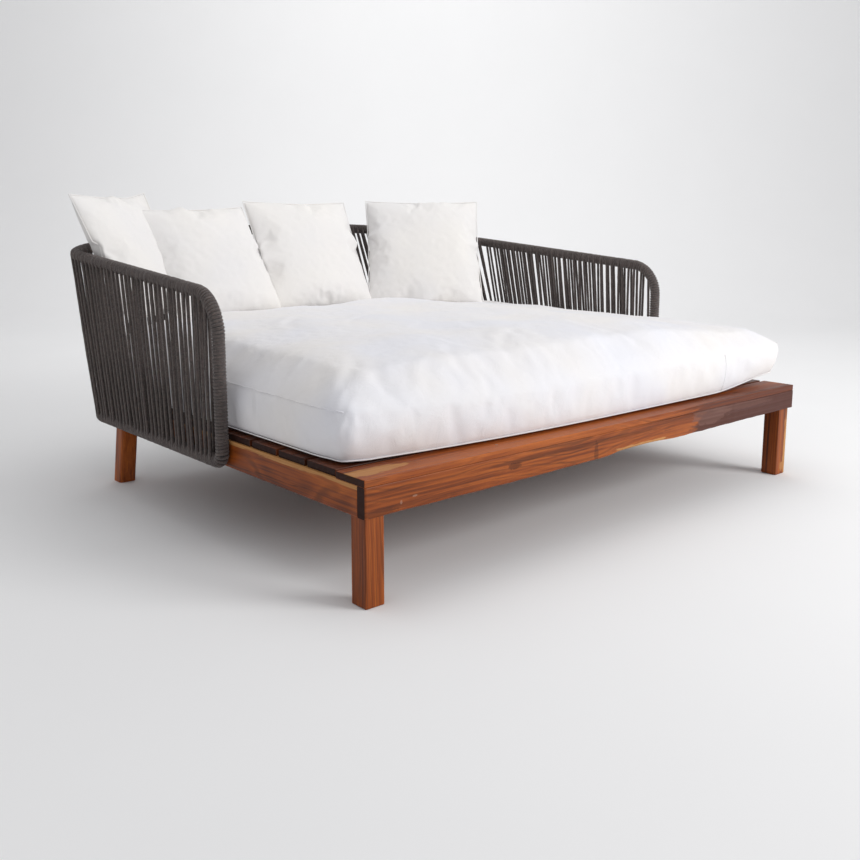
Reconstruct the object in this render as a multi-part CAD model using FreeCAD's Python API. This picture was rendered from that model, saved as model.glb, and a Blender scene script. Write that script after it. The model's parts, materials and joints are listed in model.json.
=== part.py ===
"""Daybed: a low hardwood platform, a rope-wound arm and back frame, a mattress and four pillows.

Millimetres, +Z up, X along the width, Y from front to back, floor at Z = 0. Everything is drawn
with Y counted from the platform's front face. The last section moves it so that the origin is the
middle of the whole footprint, on the floor.
"""
import FreeCAD, Part
import os
from math import cos, degrees, radians, sin, sqrt, tan

Vec = FreeCAD.Vector
X_AXIS = Vec(1, 0, 0)
Y_AXIS = Vec(0, 1, 0)
Z_AXIS = Vec(0, 0, 1)
SIDES = {"left": -1, "right": 1}

# ---------------------------------------------------------------- platform
WIDTH = 2000.0            # over the side rails
DEPTH = 1510.0            # front face to rear rail's back face
LEG_HEIGHT = 234.0        # floor to the underside of the rails
RAIL_HEIGHT = 80.0
RAIL_THICK = 30.0
DECK_THICK = 20.0         # cap plank and slats
CAP_DEPTH = 119.0
SLAT_GAP = 12.0
SLAT_COUNT = 10
SLAT_END_INSET = 8.0      # slat end to side rail's outer face
SLAT_REAR_INSET = 8.0
JOIST_AT = {"left": -500.0, "middle": 0.0, "right": 500.0}
BOARD_ROUNDING = 2.5
RAIL_TOP = LEG_HEIGHT + RAIL_HEIGHT
DECK_TOP = RAIL_TOP + DECK_THICK

# ---------------------------------------------------------------- legs
LEG_SIZE = 60.0
FRONT_LEG_SETBACK = 4.0   # behind the front face
FRONT_LEG_INSET = {"left": 4.0, "right": 21.0}
BACK_LEG_INSET = 24.0
BACK_LEG_FOOT_Y = 1520.0
BACK_LEG_RAKE = 12.0      # degrees, feet further back than the rails
FRONT_LEG_ROUNDING = 4.0
BACK_LEG_ROUNDING = 11.0

# ---------------------------------------------------------------- tube frame and rope
TUBE_RADIUS = 10.0
TUBE_WALL = 1.5
ROPE_DIAMETER = 10.0
WRAP_RADIUS = TUBE_RADIUS + ROPE_DIAMETER
ARM_X = WIDTH / 2 + WRAP_RADIUS + 2.0
POST_Y = 650.0
FRAME_BOTTOM_Z = 252.0
ARM_FRONT_Z = 735.0       # arm's centre line above the post
ARM_SLOPE = 0.078         # the arm rises towards the back
BACK_BOTTOM_Y = 1565.0
BACK_TOP_Y = 1775.0
BACK_CROWN_ANGLE = 7.5    # degrees, the back's top rail leaves the corners this steeply
POST_FOOT_BEND = 28.0
POST_TOP_BEND = 120.0
BOTTOM_CORNER_BEND = 70.0
TOP_CORNER_BEND = 150.0
UPRIGHT_RADIUS = 9.0
UPRIGHT_AT = {"left": -480.0, "right": 480.0}
PANEL_CLEARANCE = 1.0     # rope layer to the wrapped rail
SECTION_GAP = 2.0         # between neighbouring rope sections

# ---------------------------------------------------------------- fasteners
BOLT_RADIUS = 4.0
BOLT_HOLE_RADIUS = 4.5
BOSS_RADIUS = 8.0
BOLT_AT_Y = (820.0, 1110.0, 1400.0)
SPACER_AT_X = (-720.0, -240.0, 240.0, 720.0)
WASHER_THICK = 1.5
WASHER_RADIUS = 9.0
HEX_HEAD_ACROSS = 13.0
HEX_HEAD_THICK = 5.3
LAG_RADIUS = 3.5
SCREW_RADIUS = 2.0
SCREW_HEAD_RADIUS = 4.0
SLAT_SCREW_LENGTH = 45.0
BRACKET_LEG = 30.0
BRACKET_THICK = 2.0
BRACKET_HEIGHT = 50.0
BRACKET_SCREW_LENGTH = 16.0
BOLT_IN_BOSS = 8.0        # how far a frame bolt's thread runs into its boss
SCREW_HEAD_THICK = 2.0

# ---------------------------------------------------------------- mattress and pillows
SOFT_CLEARANCE = 0.5
MATTRESS_LEFT = -975.0
MATTRESS_RIGHT = 962.0
MATTRESS_FRONT = 52.0
MATTRESS_BACK = 1535.0
MATTRESS_CORNER = 90.0
PILLOW_HEIGHT = 455.0
PILLOW_HALF_THICK = 76.0
PILLOW_EDGE_HALF_THICK = 10.0
# name: centre, width, turn about Z and lean back in degrees
PILLOWS = {
    "pillow_corner": (Vec(-822, 1606, 816), 390.0, 38.0, 27.0),
    "pillow_left": (Vec(-472, 1604, 798), 400.0, 3.0, 31.0),
    "pillow_middle": (Vec(-30, 1640, 812), 425.0, -2.0, 28.0),
    "pillow_right": (Vec(455, 1478, 812), 455.0, -34.0, 28.0),
}


def box(low, high):
    """Box between two opposite corners."""
    size = high - low
    return Part.makeBox(size.x, size.y, size.z, low)


def rounded_box(low, high, radius):
    """Box with every edge rounded."""
    plain = box(low, high)
    return plain.makeFillet(radius, plain.Edges)


def unit(vector):
    """The vector's direction, as a new vector."""
    return vector * (1.0 / vector.Length)


def cylinder(start, direction, length, radius):
    """Solid cylinder from start along direction."""
    return Part.makeCylinder(radius, length, start, direction)


def hex_head(start, direction):
    """Hexagonal head whose flat side stands on start."""
    side = unit(direction.cross(Z_AXIS))
    up = unit(side.cross(direction))
    reach = HEX_HEAD_ACROSS / sqrt(3)
    corners = []
    for index in range(7):
        angle = radians(60 * index)
        corners.append(start + side * (reach * cos(angle)) + up * (reach * sin(angle)))
    return Part.Face(Part.makePolygon(corners)).extrude(unit(direction) * HEX_HEAD_THICK)


# ---------------------------------------------------------------- paths
def bent_path(points, radii):
    """Straight runs through points, joined by tangent arcs of the given radii."""
    edges = []
    start = points[0]
    for corner, following, radius in zip(points[1:], points[2:], radii):
        into = unit(corner - start)
        out = unit(following - corner)
        half_turn = into.getAngle(out) / 2
        setback = radius * tan(half_turn)
        arc_start = corner - into * setback
        arc_end = corner + out * setback
        inward = unit(out - into)
        arc_middle = corner + inward * (radius / cos(half_turn) - radius)
        if (arc_start - start).Length > 0.01:
            edges.append(Part.LineSegment(start, arc_start).toShape())
        edges.append(Part.Arc(arc_start, arc_middle, arc_end).toShape())
        start = arc_end
    if (points[-1] - start).Length > 0.01:
        edges.append(Part.LineSegment(start, points[-1]).toShape())
    return edges


def round_bar(edges, radius):
    """Solid round bar along a path of straight and circular edges."""
    pieces = []
    for edge in edges:
        first, last = edge.FirstParameter, edge.LastParameter
        start = edge.valueAt(first)
        direction = edge.tangentAt(first)
        if isinstance(edge.Curve, Part.Circle):
            disc = Part.Face(Part.Wire(Part.makeCircle(radius, start, direction)))
            turn = degrees(last - first)
            pieces.append(disc.revolve(edge.Curve.Center, edge.Curve.Axis, turn))
        else:
            pieces.append(cylinder(start, direction, edge.Length, radius))
    if len(pieces) == 1:
        return pieces[0]
    return pieces[0].multiFuse(pieces[1:]).removeSplitter()


def mirrored(point):
    """The same point on the other side of the middle plane."""
    return Vec(-point.x, point.y, point.z)


def arm_height(y):
    """Height of the arm's centre line at distance y from the front."""
    return ARM_FRONT_Z + ARM_SLOPE * (y - POST_Y)


# ---------------------------------------------------------------- the frame's key points
top_corner = Vec(-ARM_X, BACK_TOP_Y, arm_height(BACK_TOP_Y))
bottom_corner = Vec(-ARM_X, BACK_BOTTOM_Y, FRAME_BOTTOM_Z)
back_up = unit(Vec(0, top_corner.y - bottom_corner.y, top_corner.z - bottom_corner.z))
back_normal = Vec(0, back_up.z, -back_up.y)
arm_direction = unit(Vec(0, 1, ARM_SLOPE))
crown = radians(BACK_CROWN_ANGLE)
back_direction = X_AXIS * cos(crown) + back_up * sin(crown)

corner_half_turn = arm_direction.getAngle(back_direction) / 2
corner_setback = TOP_CORNER_BEND * tan(corner_half_turn)
arm_end = top_corner - arm_direction * corner_setback
back_start = top_corner + back_direction * corner_setback
back_middle = Vec(0, back_start.y, back_start.z) + back_up * (-back_start.x * tan(crown / 2))
bottom_arm_end = Vec(-ARM_X, BACK_BOTTOM_Y - BOTTOM_CORNER_BEND, FRAME_BOTTOM_Z)


def arm_path(side):
    """One arm: bottom rail, bend, front post, bend and sloping top rail."""
    points = [
        bottom_arm_end,
        Vec(-ARM_X, POST_Y, FRAME_BOTTOM_Z),
        Vec(-ARM_X, POST_Y, ARM_FRONT_Z),
        arm_end,
    ]
    if side == "right":
        points = [mirrored(point) for point in points]
    return bent_path(points, [POST_FOOT_BEND, POST_TOP_BEND])


def back_top_path():
    """Two plan corners and the crowned rail between them."""
    left = bent_path([arm_end, top_corner, back_start], [TOP_CORNER_BEND])
    ends = [mirrored(point) for point in (back_start, top_corner, arm_end)]
    right = bent_path(ends, [TOP_CORNER_BEND])
    rail = Part.Arc(back_start, back_middle, mirrored(back_start)).toShape()
    return left + [rail] + right


def back_bottom_path():
    """The back's bottom rail with its two plan corners."""
    points = [bottom_arm_end, bottom_corner, mirrored(bottom_corner), mirrored(bottom_arm_end)]
    return bent_path(points, [BOTTOM_CORNER_BEND, BOTTOM_CORNER_BEND])


def back_rail_rise(x):
    """Distance along the recline from the back's bottom rail to its top rail at x."""
    half_chord = -back_start.x
    radius = half_chord / sin(crown)
    drop = radius - sqrt(radius ** 2 - x ** 2)
    middle = (back_middle - Vec(0, BACK_BOTTOM_Y, FRAME_BOTTOM_Z)).Length
    return middle - drop


def on_back(x, rise):
    """Point of the back's middle plane, rise measured along the recline."""
    return Vec(x, BACK_BOTTOM_Y, FRAME_BOTTOM_Z) + back_up * rise


# ---------------------------------------------------------------- fasteners
def boss_places():
    """Start and direction of each welded boss, from the platform's face out to the tube."""
    places = []
    for sign in SIDES.values():
        for y in BOLT_AT_Y:
            places.append((Vec(sign * WIDTH / 2, y, FRAME_BOTTOM_Z), X_AXIS * sign))
    return places


def spacer_places():
    """Start and direction of each spacer behind the rear rail."""
    return [(Vec(x, DEPTH, FRAME_BOTTOM_Z), Y_AXIS) for x in SPACER_AT_X]


def standing_off(places, reach, tubes):
    """Bosses from a wood face to the tube, drilled for their bolts and coped round the tube."""
    solids = []
    for start, direction in places:
        boss = cylinder(start, direction, reach, BOSS_RADIUS)
        hole = cylinder(start, direction, reach - WRAP_RADIUS / 2, BOLT_RADIUS)
        solids.append(boss.cut(hole).cut(tubes))
    return solids


def frame_bolt(start, direction, reach):
    """Bolt through a rail from its inner face into a boss."""
    seat = start - direction * (RAIL_THICK + WASHER_THICK)
    shank = cylinder(seat, direction, RAIL_THICK + WASHER_THICK + reach, BOLT_RADIUS)
    return shank.fuse(hex_head(seat, direction * -1)).removeSplitter()


def washer(start, direction):
    """Flat washer against a rail's inner face."""
    seat = start - direction * RAIL_THICK
    plain = cylinder(seat, direction * -1, WASHER_THICK, WASHER_RADIUS)
    return plain.cut(cylinder(seat, direction * -1, WASHER_THICK, BOLT_RADIUS))


def lag_places():
    """Head seat, direction and length of each lag screw that ties a leg to its rails."""
    heights = (LEG_HEIGHT + 20.0, LEG_HEIGHT + 60.0)
    middle_height = LEG_HEIGHT + RAIL_HEIGHT / 2
    front_inner_y = FRONT_LEG_SETBACK + LEG_SIZE
    tip_cover = 8.0
    places = []
    for side, sign in SIDES.items():
        outward = X_AXIS * sign
        front_inner_x = sign * (WIDTH / 2 - FRONT_LEG_INSET[side] - LEG_SIZE)
        back_inner_x = sign * (WIDTH / 2 - BACK_LEG_INSET - LEG_SIZE)
        post_centre_y = (RAIL_THICK + front_inner_y) / 2
        post_centre_x = (front_inner_x + sign * (WIDTH / 2 - RAIL_THICK)) / 2
        for height in heights:
            front_length = WIDTH / 2 - tip_cover - abs(front_inner_x)
            back_length = WIDTH / 2 - tip_cover - abs(back_inner_x)
            back_y = BACK_LEG_FOOT_Y - height * tan(radians(BACK_LEG_RAKE))
            places.append((Vec(front_inner_x, post_centre_y, height), outward, front_length))
            places.append((Vec(back_inner_x, back_y, height), outward, back_length))
        seat = Vec(post_centre_x, front_inner_y, middle_height)
        places.append((seat, Y_AXIS * -1, front_inner_y - tip_cover))
    return places


def lag_screw(seat, direction, length):
    """Hexagon-head wood screw."""
    shank = cylinder(seat, direction, length, LAG_RADIUS)
    return shank.fuse(hex_head(seat, direction * -1)).removeSplitter()


def deck_screw(x, y):
    """Countersunk screw, flush with the deck, into a joist."""
    head_depth = SCREW_HEAD_RADIUS - SCREW_RADIUS
    head_base = Vec(x, y, DECK_TOP - head_depth)
    head = Part.makeCone(SCREW_RADIUS, SCREW_HEAD_RADIUS, head_depth, head_base)
    shank = cylinder(head_base, Z_AXIS * -1, SLAT_SCREW_LENGTH, SCREW_RADIUS)
    return head.fuse(shank).removeSplitter()


def pan_screw(seat, direction):
    """Short flat-headed screw; seat is the plate's face, direction into the wood."""
    head = cylinder(seat, direction * -1, SCREW_HEAD_THICK, SCREW_HEAD_RADIUS)
    shank = cylinder(seat, direction, BRACKET_SCREW_LENGTH, SCREW_RADIUS)
    return head.fuse(shank).removeSplitter()


# ---------------------------------------------------------------- platform boards
def slat_span(number):
    """Front and back Y of a slat; slat 1 is the first behind the cap plank."""
    first = CAP_DEPTH + SLAT_GAP
    pitch = (DEPTH - SLAT_REAR_INSET - first + SLAT_GAP) / SLAT_COUNT
    low = first + pitch * (number - 1)
    return low, low + pitch - SLAT_GAP


def deck_screws():
    """Two screws where each deck board crosses each joist."""
    spans = [(RAIL_THICK, CAP_DEPTH)]
    for number in range(1, SLAT_COUNT + 1):
        spans.append(slat_span(number))
    screws = []
    for low, high in spans:
        quarter = (high - low) / 4
        for x in JOIST_AT.values():
            screws.append(deck_screw(x, low + quarter))
            screws.append(deck_screw(x, high - quarter))
    return screws


def joist(x):
    """Joist from the fascia to the rear rail."""
    half = RAIL_THICK / 2
    low = Vec(x - half, RAIL_THICK, LEG_HEIGHT)
    return rounded_box(low, Vec(x + half, DEPTH - RAIL_THICK, RAIL_TOP), BOARD_ROUNDING)


def side_rail(sign):
    """Side rail between the fascia and the rear rail."""
    outer = sign * WIDTH / 2
    inner = sign * (WIDTH / 2 - RAIL_THICK)
    low = Vec(min(outer, inner), RAIL_THICK, LEG_HEIGHT)
    high = Vec(max(outer, inner), DEPTH - RAIL_THICK, RAIL_TOP)
    return rounded_box(low, high, BOARD_ROUNDING)


def cross_rail(front):
    """Full-width board that covers the side rails' ends."""
    low = Vec(-WIDTH / 2, front, LEG_HEIGHT)
    return rounded_box(low, Vec(WIDTH / 2, front + RAIL_THICK, RAIL_TOP), BOARD_ROUNDING)


def cap_plank():
    """Front deck board, over the fascia and the rails' ends."""
    low = Vec(-WIDTH / 2, 0, RAIL_TOP)
    return rounded_box(low, Vec(WIDTH / 2, CAP_DEPTH, DECK_TOP), BOARD_ROUNDING)


def slat(number):
    """One deck slat, resting on the side rails and joists."""
    low_y, high_y = slat_span(number)
    reach = WIDTH / 2 - SLAT_END_INSET
    low = Vec(-reach, low_y, RAIL_TOP)
    return rounded_box(low, Vec(reach, high_y, DECK_TOP), BOARD_ROUNDING)


def corner_rails_space(sign):
    """Room that a leg leaves for the side rail above its shoulder."""
    inner = sign * (WIDTH / 2 - RAIL_THICK)
    outer = sign * WIDTH
    low = Vec(min(inner, outer), -DEPTH, LEG_HEIGHT)
    return box(low, Vec(max(inner, outer), 2 * DEPTH, 2 * RAIL_TOP))


def front_leg(side):
    """Square leg, notched above its shoulder to stand inside the corner of the rails."""
    sign = SIDES[side]
    outer = sign * (WIDTH / 2 - FRONT_LEG_INSET[side])
    inner = outer - sign * LEG_SIZE
    low = Vec(min(outer, inner), FRONT_LEG_SETBACK, 0)
    high = Vec(max(outer, inner), FRONT_LEG_SETBACK + LEG_SIZE, RAIL_TOP)
    leg = rounded_box(low, high, FRONT_LEG_ROUNDING)
    fascia_space = box(Vec(-WIDTH, -DEPTH, LEG_HEIGHT), Vec(WIDTH, RAIL_THICK, 2 * RAIL_TOP))
    return leg.cut(corner_rails_space(sign)).cut(fascia_space)


def back_leg(side):
    """Raked leg with well rounded edges, notched round the side and rear rails."""
    sign = SIDES[side]
    outer = sign * (WIDTH / 2 - BACK_LEG_INSET)
    inner = outer - sign * LEG_SIZE
    half = LEG_SIZE / 2
    spare = LEG_SIZE
    low = Vec(min(outer, inner), -half, -spare)
    post = box(low, Vec(max(outer, inner), half, RAIL_TOP + 2 * spare))
    long_edges = [edge for edge in post.Edges if edge.Length > 2 * LEG_SIZE]
    post = post.makeFillet(BACK_LEG_ROUNDING, long_edges)
    post.rotate(Vec(0, 0, 0), X_AXIS, BACK_LEG_RAKE)
    post.translate(Vec(0, BACK_LEG_FOOT_Y, 0))
    room = box(Vec(-WIDTH, 0, 0), Vec(WIDTH, 2 * DEPTH, RAIL_TOP))
    rear_space = box(Vec(-WIDTH, DEPTH - RAIL_THICK, LEG_HEIGHT), Vec(WIDTH, 2 * DEPTH, RAIL_TOP))
    return post.common(room).cut(corner_rails_space(sign)).cut(rear_space)


def bracket(x, face_y, inward):
    """Steel angle between a joist's side at x and a cross rail's inner face."""
    low_z = LEG_HEIGHT + (RAIL_HEIGHT - BRACKET_HEIGHT) / 2
    high_z = low_z + BRACKET_HEIGHT
    thin_y = face_y + inward * BRACKET_THICK
    far_y = face_y + inward * BRACKET_LEG
    on_rail = box(
        Vec(x, min(face_y, thin_y), low_z),
        Vec(x + BRACKET_LEG, max(face_y, thin_y), high_z),
    )
    on_joist = box(
        Vec(x, min(face_y, far_y), low_z),
        Vec(x + BRACKET_THICK, max(face_y, far_y), high_z),
    )
    return on_rail.fuse(on_joist).removeSplitter()


def bracket_places():
    """Joist side, rail face and inward direction of each bracket."""
    places = []
    for x in JOIST_AT.values():
        places.append((x + RAIL_THICK / 2, RAIL_THICK, 1))
        places.append((x + RAIL_THICK / 2, DEPTH - RAIL_THICK, -1))
    return places


def bracket_screws():
    """Two screws into the rail and two into the joist at each bracket."""
    middle = LEG_HEIGHT + RAIL_HEIGHT / 2
    reach = BRACKET_LEG * 0.6
    screws = []
    for x, face_y, inward in bracket_places():
        for height in (middle - 14.0, middle + 14.0):
            rail_seat = Vec(x + reach, face_y + inward * BRACKET_THICK, height)
            screws.append(pan_screw(rail_seat, Y_AXIS * -inward))
        for height in (middle - 6.0, middle + 6.0):
            joist_seat = Vec(x + BRACKET_THICK, face_y + inward * reach, height)
            screws.append(pan_screw(joist_seat, X_AXIS * -1))
    return screws


# ---------------------------------------------------------------- rope sections
def arm_rope(side):
    """Outer and inner layer of strands between an arm's rails, as two thin plates."""
    margin = WRAP_RADIUS + PANEL_CLEARANCE
    drop = arm_direction.cross(X_AXIS) * margin
    under_arm = Vec(0, POST_Y, ARM_FRONT_Z) + drop
    front_y = POST_Y + margin
    front_top = Vec(0, front_y, under_arm.z + (front_y - under_arm.y) * ARM_SLOPE)
    rear_end = arm_end - back_up * (margin + SECTION_GAP) - arm_direction * SECTION_GAP
    rear_top = Vec(0, rear_end.y, rear_end.z)
    front_low = Vec(0, front_y, FRAME_BOTTOM_Z + margin)
    rear_low = Vec(0, bottom_arm_end.y, FRAME_BOTTOM_Z + margin)
    outline = bent_path([front_low, front_top, rear_top], [POST_TOP_BEND - margin])
    outline.append(Part.LineSegment(rear_top, rear_low).toShape())
    outline.append(Part.LineSegment(rear_low, front_low).toShape())
    face = Part.Face(Part.Wire(outline))
    centre = SIDES[side] * ARM_X
    layers = []
    for low_x in (centre - WRAP_RADIUS, centre + TUBE_RADIUS):
        layers.append(face.translated(Vec(low_x, 0, 0)).extrude(X_AXIS * ROPE_DIAMETER))
    return layers


def banana(centre, to_start, to_end, low_radius, high_radius):
    """Flat curved strip between two arcs about one centre."""
    to_middle = unit(to_start + to_end)
    outer = Part.Arc(
        centre + to_start * high_radius, centre + to_middle * high_radius, centre + to_end * high_radius
    ).toShape()
    inner = Part.Arc(
        centre + to_end * low_radius, centre + to_middle * low_radius, centre + to_start * low_radius
    ).toShape()
    first = Part.LineSegment(centre + to_end * high_radius, centre + to_end * low_radius).toShape()
    last = Part.LineSegment(centre + to_start * low_radius, centre + to_start * high_radius).toShape()
    return Part.Wire([outer, first, inner, last])


def corner_rope(side):
    """Strands round a plan corner: ruled between the small bottom bend and the large top bend."""
    margin = WRAP_RADIUS + PANEL_CLEARANCE
    turn = SECTION_GAP / BOTTOM_CORNER_BEND
    low_start = unit(Vec(-1, tan(turn), 0))
    low_end = unit(Vec(-tan(turn), 1, 0))
    low_centre = Vec(-ARM_X + BOTTOM_CORNER_BEND, bottom_arm_end.y, FRAME_BOTTOM_Z + margin)
    inward = unit(back_direction - arm_direction)
    high_centre = top_corner + inward * (TOP_CORNER_BEND / cos(corner_half_turn))
    high_start = unit(arm_end - high_centre)
    high_end = unit(back_start - high_centre)
    high_start = unit(high_start + high_end * (SECTION_GAP / TOP_CORNER_BEND))
    high_end = unit(high_end + high_start * (SECTION_GAP / TOP_CORNER_BEND))
    lowered = high_centre - back_up * (margin + SECTION_GAP)
    layers = []
    for low_offset in (-WRAP_RADIUS, TUBE_RADIUS):
        high_offset = low_offset + ROPE_DIAMETER
        bottom = banana(
            low_centre, low_start, low_end,
            BOTTOM_CORNER_BEND + low_offset, BOTTOM_CORNER_BEND + high_offset,
        )
        top = banana(
            lowered, high_start, high_end,
            TOP_CORNER_BEND + low_offset, TOP_CORNER_BEND + high_offset,
        )
        layer = Part.makeLoft([bottom, top], True, True)
        if side == "right":
            layer = layer.mirror(Vec(0, 0, 0), X_AXIS)
        layers.append(layer)
    return layers


def back_rope():
    """Outer and inner layer of strands between the back's rails."""
    margin = WRAP_RADIUS + PANEL_CLEARANCE
    low_end = ARM_X - BOTTOM_CORNER_BEND - SECTION_GAP
    high_end = -back_start.x - SECTION_GAP
    end_rise = back_rail_rise(high_end) - margin
    middle_rise = back_rail_rise(0) - margin
    low_left = on_back(-low_end, margin)
    low_right = on_back(low_end, margin)
    high_left = on_back(-high_end, end_rise)
    high_right = on_back(high_end, end_rise)
    outline = Part.Wire([
        Part.LineSegment(low_left, low_right).toShape(),
        Part.LineSegment(low_right, high_right).toShape(),
        Part.Arc(high_right, on_back(0, middle_rise), high_left).toShape(),
        Part.LineSegment(high_left, low_left).toShape(),
    ])
    face = Part.Face(outline)
    layers = []
    for offset in (-WRAP_RADIUS, TUBE_RADIUS):
        layers.append(face.translated(back_normal * offset).extrude(back_normal * ROPE_DIAMETER))
    return layers


def back_upright(x, tubes):
    """Tube between the back's rails, inside the two rope layers, coped at both ends."""
    start = on_back(x, 0)
    rise = back_rail_rise(x)
    outer = cylinder(start, back_up, rise, UPRIGHT_RADIUS)
    bore = cylinder(start, back_up, rise, UPRIGHT_RADIUS - TUBE_WALL)
    return outer.cut(bore).cut(tubes)


# ---------------------------------------------------------------- soft parts
def rounded_outline(inset, height):
    """Horizontal outline of the mattress, inset from its full size."""
    radius = MATTRESS_CORNER
    low_x = MATTRESS_LEFT + inset
    high_x = MATTRESS_RIGHT - inset
    low_y = MATTRESS_FRONT + inset
    high_y = MATTRESS_BACK - inset
    middle_x = (low_x + high_x) / 2
    corners = [
        Vec(middle_x, low_y, height),
        Vec(high_x, low_y, height),
        Vec(high_x, high_y, height),
        Vec(low_x, high_y, height),
        Vec(low_x, low_y, height),
        Vec(middle_x, low_y, height),
    ]
    return Part.Wire(bent_path(corners, [radius] * 4))


def mattress():
    """One thick, soft mattress: full at half height, crowned on top."""
    layers = (
        (30.0, DECK_TOP + SOFT_CLEARANCE),
        (0.0, DECK_TOP + 50.0),
        (0.0, DECK_TOP + 130.0),
        (30.0, DECK_TOP + 190.0),
        (110.0, DECK_TOP + 222.0),
        (260.0, DECK_TOP + 236.0),
    )
    outlines = [rounded_outline(inset, height) for inset, height in layers]
    return Part.makeLoft(outlines, True, True)


def bulge(width):
    """Cross-section of a pillow, thick in the middle and thin at both edges."""
    half = width / 2
    thin = PILLOW_EDGE_HALF_THICK
    front = Part.Arc(Vec(-half, -thin, 0), Vec(0, -PILLOW_HALF_THICK, 0), Vec(half, -thin, 0))
    back = Part.Arc(Vec(half, thin, 0), Vec(0, PILLOW_HALF_THICK, 0), Vec(-half, thin, 0))
    right = Part.LineSegment(Vec(half, -thin, 0), Vec(half, thin, 0))
    left = Part.LineSegment(Vec(-half, thin, 0), Vec(-half, -thin, 0))
    return Part.Face(Part.Wire([piece.toShape() for piece in (front, right, back, left)]))


def pillow(centre, width, turn, lean):
    """Square pillow, turned about Z and leaning back, both in degrees."""
    height = PILLOW_HEIGHT
    upright = bulge(width).extrude(Z_AXIS * height)
    upright.translate(Z_AXIS * (-height / 2))
    lying = bulge(height).extrude(Z_AXIS * width)
    lying.translate(Z_AXIS * (-width / 2))
    lying.rotate(Vec(0, 0, 0), Y_AXIS, 90)
    solid = upright.common(lying)
    solid.rotate(Vec(0, 0, 0), X_AXIS, -lean)
    solid.rotate(Vec(0, 0, 0), Z_AXIS, turn)
    solid.translate(centre)
    return solid


# ---------------------------------------------------------------- assembly
def platform_parts():
    """Boards, legs and the hardware that holds them together."""
    screws = deck_screws()
    lags = [lag_screw(*place) for place in lag_places()]
    small_screws = bracket_screws()
    brackets = []
    for place in bracket_places():
        brackets.append(bracket(*place).cut(Part.makeCompound(small_screws)))
    bolt_holes = []
    for start, direction in boss_places() + spacer_places():
        seat = start - direction * RAIL_THICK
        bolt_holes.append(cylinder(seat, direction, RAIL_THICK, BOLT_HOLE_RADIUS))
    drilling = Part.makeCompound(screws + lags + small_screws + bolt_holes)

    boards = {
        "front_fascia": cross_rail(0.0),
        "rear_rail": cross_rail(DEPTH - RAIL_THICK),
        "front_cap_plank": cap_plank(),
    }
    for side, sign in SIDES.items():
        boards["side_rail_" + side] = side_rail(sign)
        boards["leg_front_" + side] = front_leg(side)
        boards["leg_back_" + side] = back_leg(side)
    for name, x in JOIST_AT.items():
        boards["joist_" + name] = joist(x)
    for number in range(1, SLAT_COUNT + 1):
        boards["slat_%02d" % number] = slat(number)

    parts = {name: board.cut(drilling) for name, board in boards.items()}
    parts["slat_screws"] = Part.makeCompound(screws)
    parts["leg_lag_screws"] = Part.makeCompound(lags)
    parts["joist_brackets"] = Part.makeCompound(brackets)
    parts["bracket_screws"] = Part.makeCompound(small_screws)
    return parts


def frame_parts():
    """Welded tube frame, its fixings and the rope wound on it."""
    paths = {
        "arm_left": arm_path("left"),
        "arm_right": arm_path("right"),
        "back_top": back_top_path(),
        "back_bottom": back_bottom_path(),
    }
    cores = {name: round_bar(path, TUBE_RADIUS) for name, path in paths.items()}
    tubes = Part.makeCompound(list(cores.values()))
    side_reach = ARM_X - WIDTH / 2
    rear_reach = BACK_BOTTOM_Y - DEPTH
    bosses = standing_off(boss_places(), side_reach, tubes)
    spacers = standing_off(spacer_places(), rear_reach, tubes)
    fixings = []
    for start, direction in boss_places():
        fixings.append(cylinder(start, direction, side_reach, BOSS_RADIUS))
    for start, direction in spacer_places():
        fixings.append(cylinder(start, direction, rear_reach, BOSS_RADIUS))
    for x in UPRIGHT_AT.values():
        fixings.append(cylinder(on_back(x, 0), back_up, back_rail_rise(x), UPRIGHT_RADIUS))
    passages = Part.makeCompound(fixings)

    parts = {}
    for name, path in paths.items():
        bore = round_bar(path, TUBE_RADIUS - TUBE_WALL)
        parts[name + "_tube"] = cores[name].cut(bore)
        sleeve = round_bar(path, WRAP_RADIUS).cut(cores[name])
        parts[name + "_rope_wrap"] = sleeve.cut(passages)
    for side, x in UPRIGHT_AT.items():
        parts["back_upright_" + side] = back_upright(x, tubes)
    parts["frame_bosses"] = Part.makeCompound(bosses)
    parts["rear_spacers"] = Part.makeCompound(spacers)

    bolts = []
    washers = []
    for start, direction in boss_places() + spacer_places():
        bolts.append(frame_bolt(start, direction, BOLT_IN_BOSS))
        washers.append(washer(start, direction))
    parts["frame_bolts"] = Part.makeCompound(bolts)
    parts["frame_washers"] = Part.makeCompound(washers)

    for side in SIDES:
        parts["arm_%s_rope" % side] = Part.makeCompound(arm_rope(side))
        parts["corner_%s_rope" % side] = Part.makeCompound(corner_rope(side))
    parts["back_rope"] = Part.makeCompound(back_rope())
    return parts


def soft_parts():
    """Mattress and the four loose pillows that lean on the back."""
    parts = {"mattress": mattress()}
    for name, placing in PILLOWS.items():
        parts[name] = pillow(*placing)
    return parts


def main():
    """Build every part, centre the whole on the origin and write one STEP file each."""
    parts = {}
    parts.update(platform_parts())
    parts.update(frame_parts())
    parts.update(soft_parts())
    overall_depth = back_middle.y + WRAP_RADIUS
    os.makedirs("parts", exist_ok=True)
    for name, shape in parts.items():
        placed = shape.copy()
        placed.translate(Vec(0, -overall_depth / 2, 0))
        placed.exportStep("parts/%s.step" % name)
    print("parts", len(parts), "overall depth %.1f" % overall_depth)


main()
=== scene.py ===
"""Looks of the daybed: hardwood platform, rope-wound frame, stuffed mattress and pillows."""
import json
from collections import namedtuple
from math import acos, ceil, cos, pi, radians, sin, tan

import bpy
import numpy as np
from mathutils import Matrix, Vector


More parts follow.
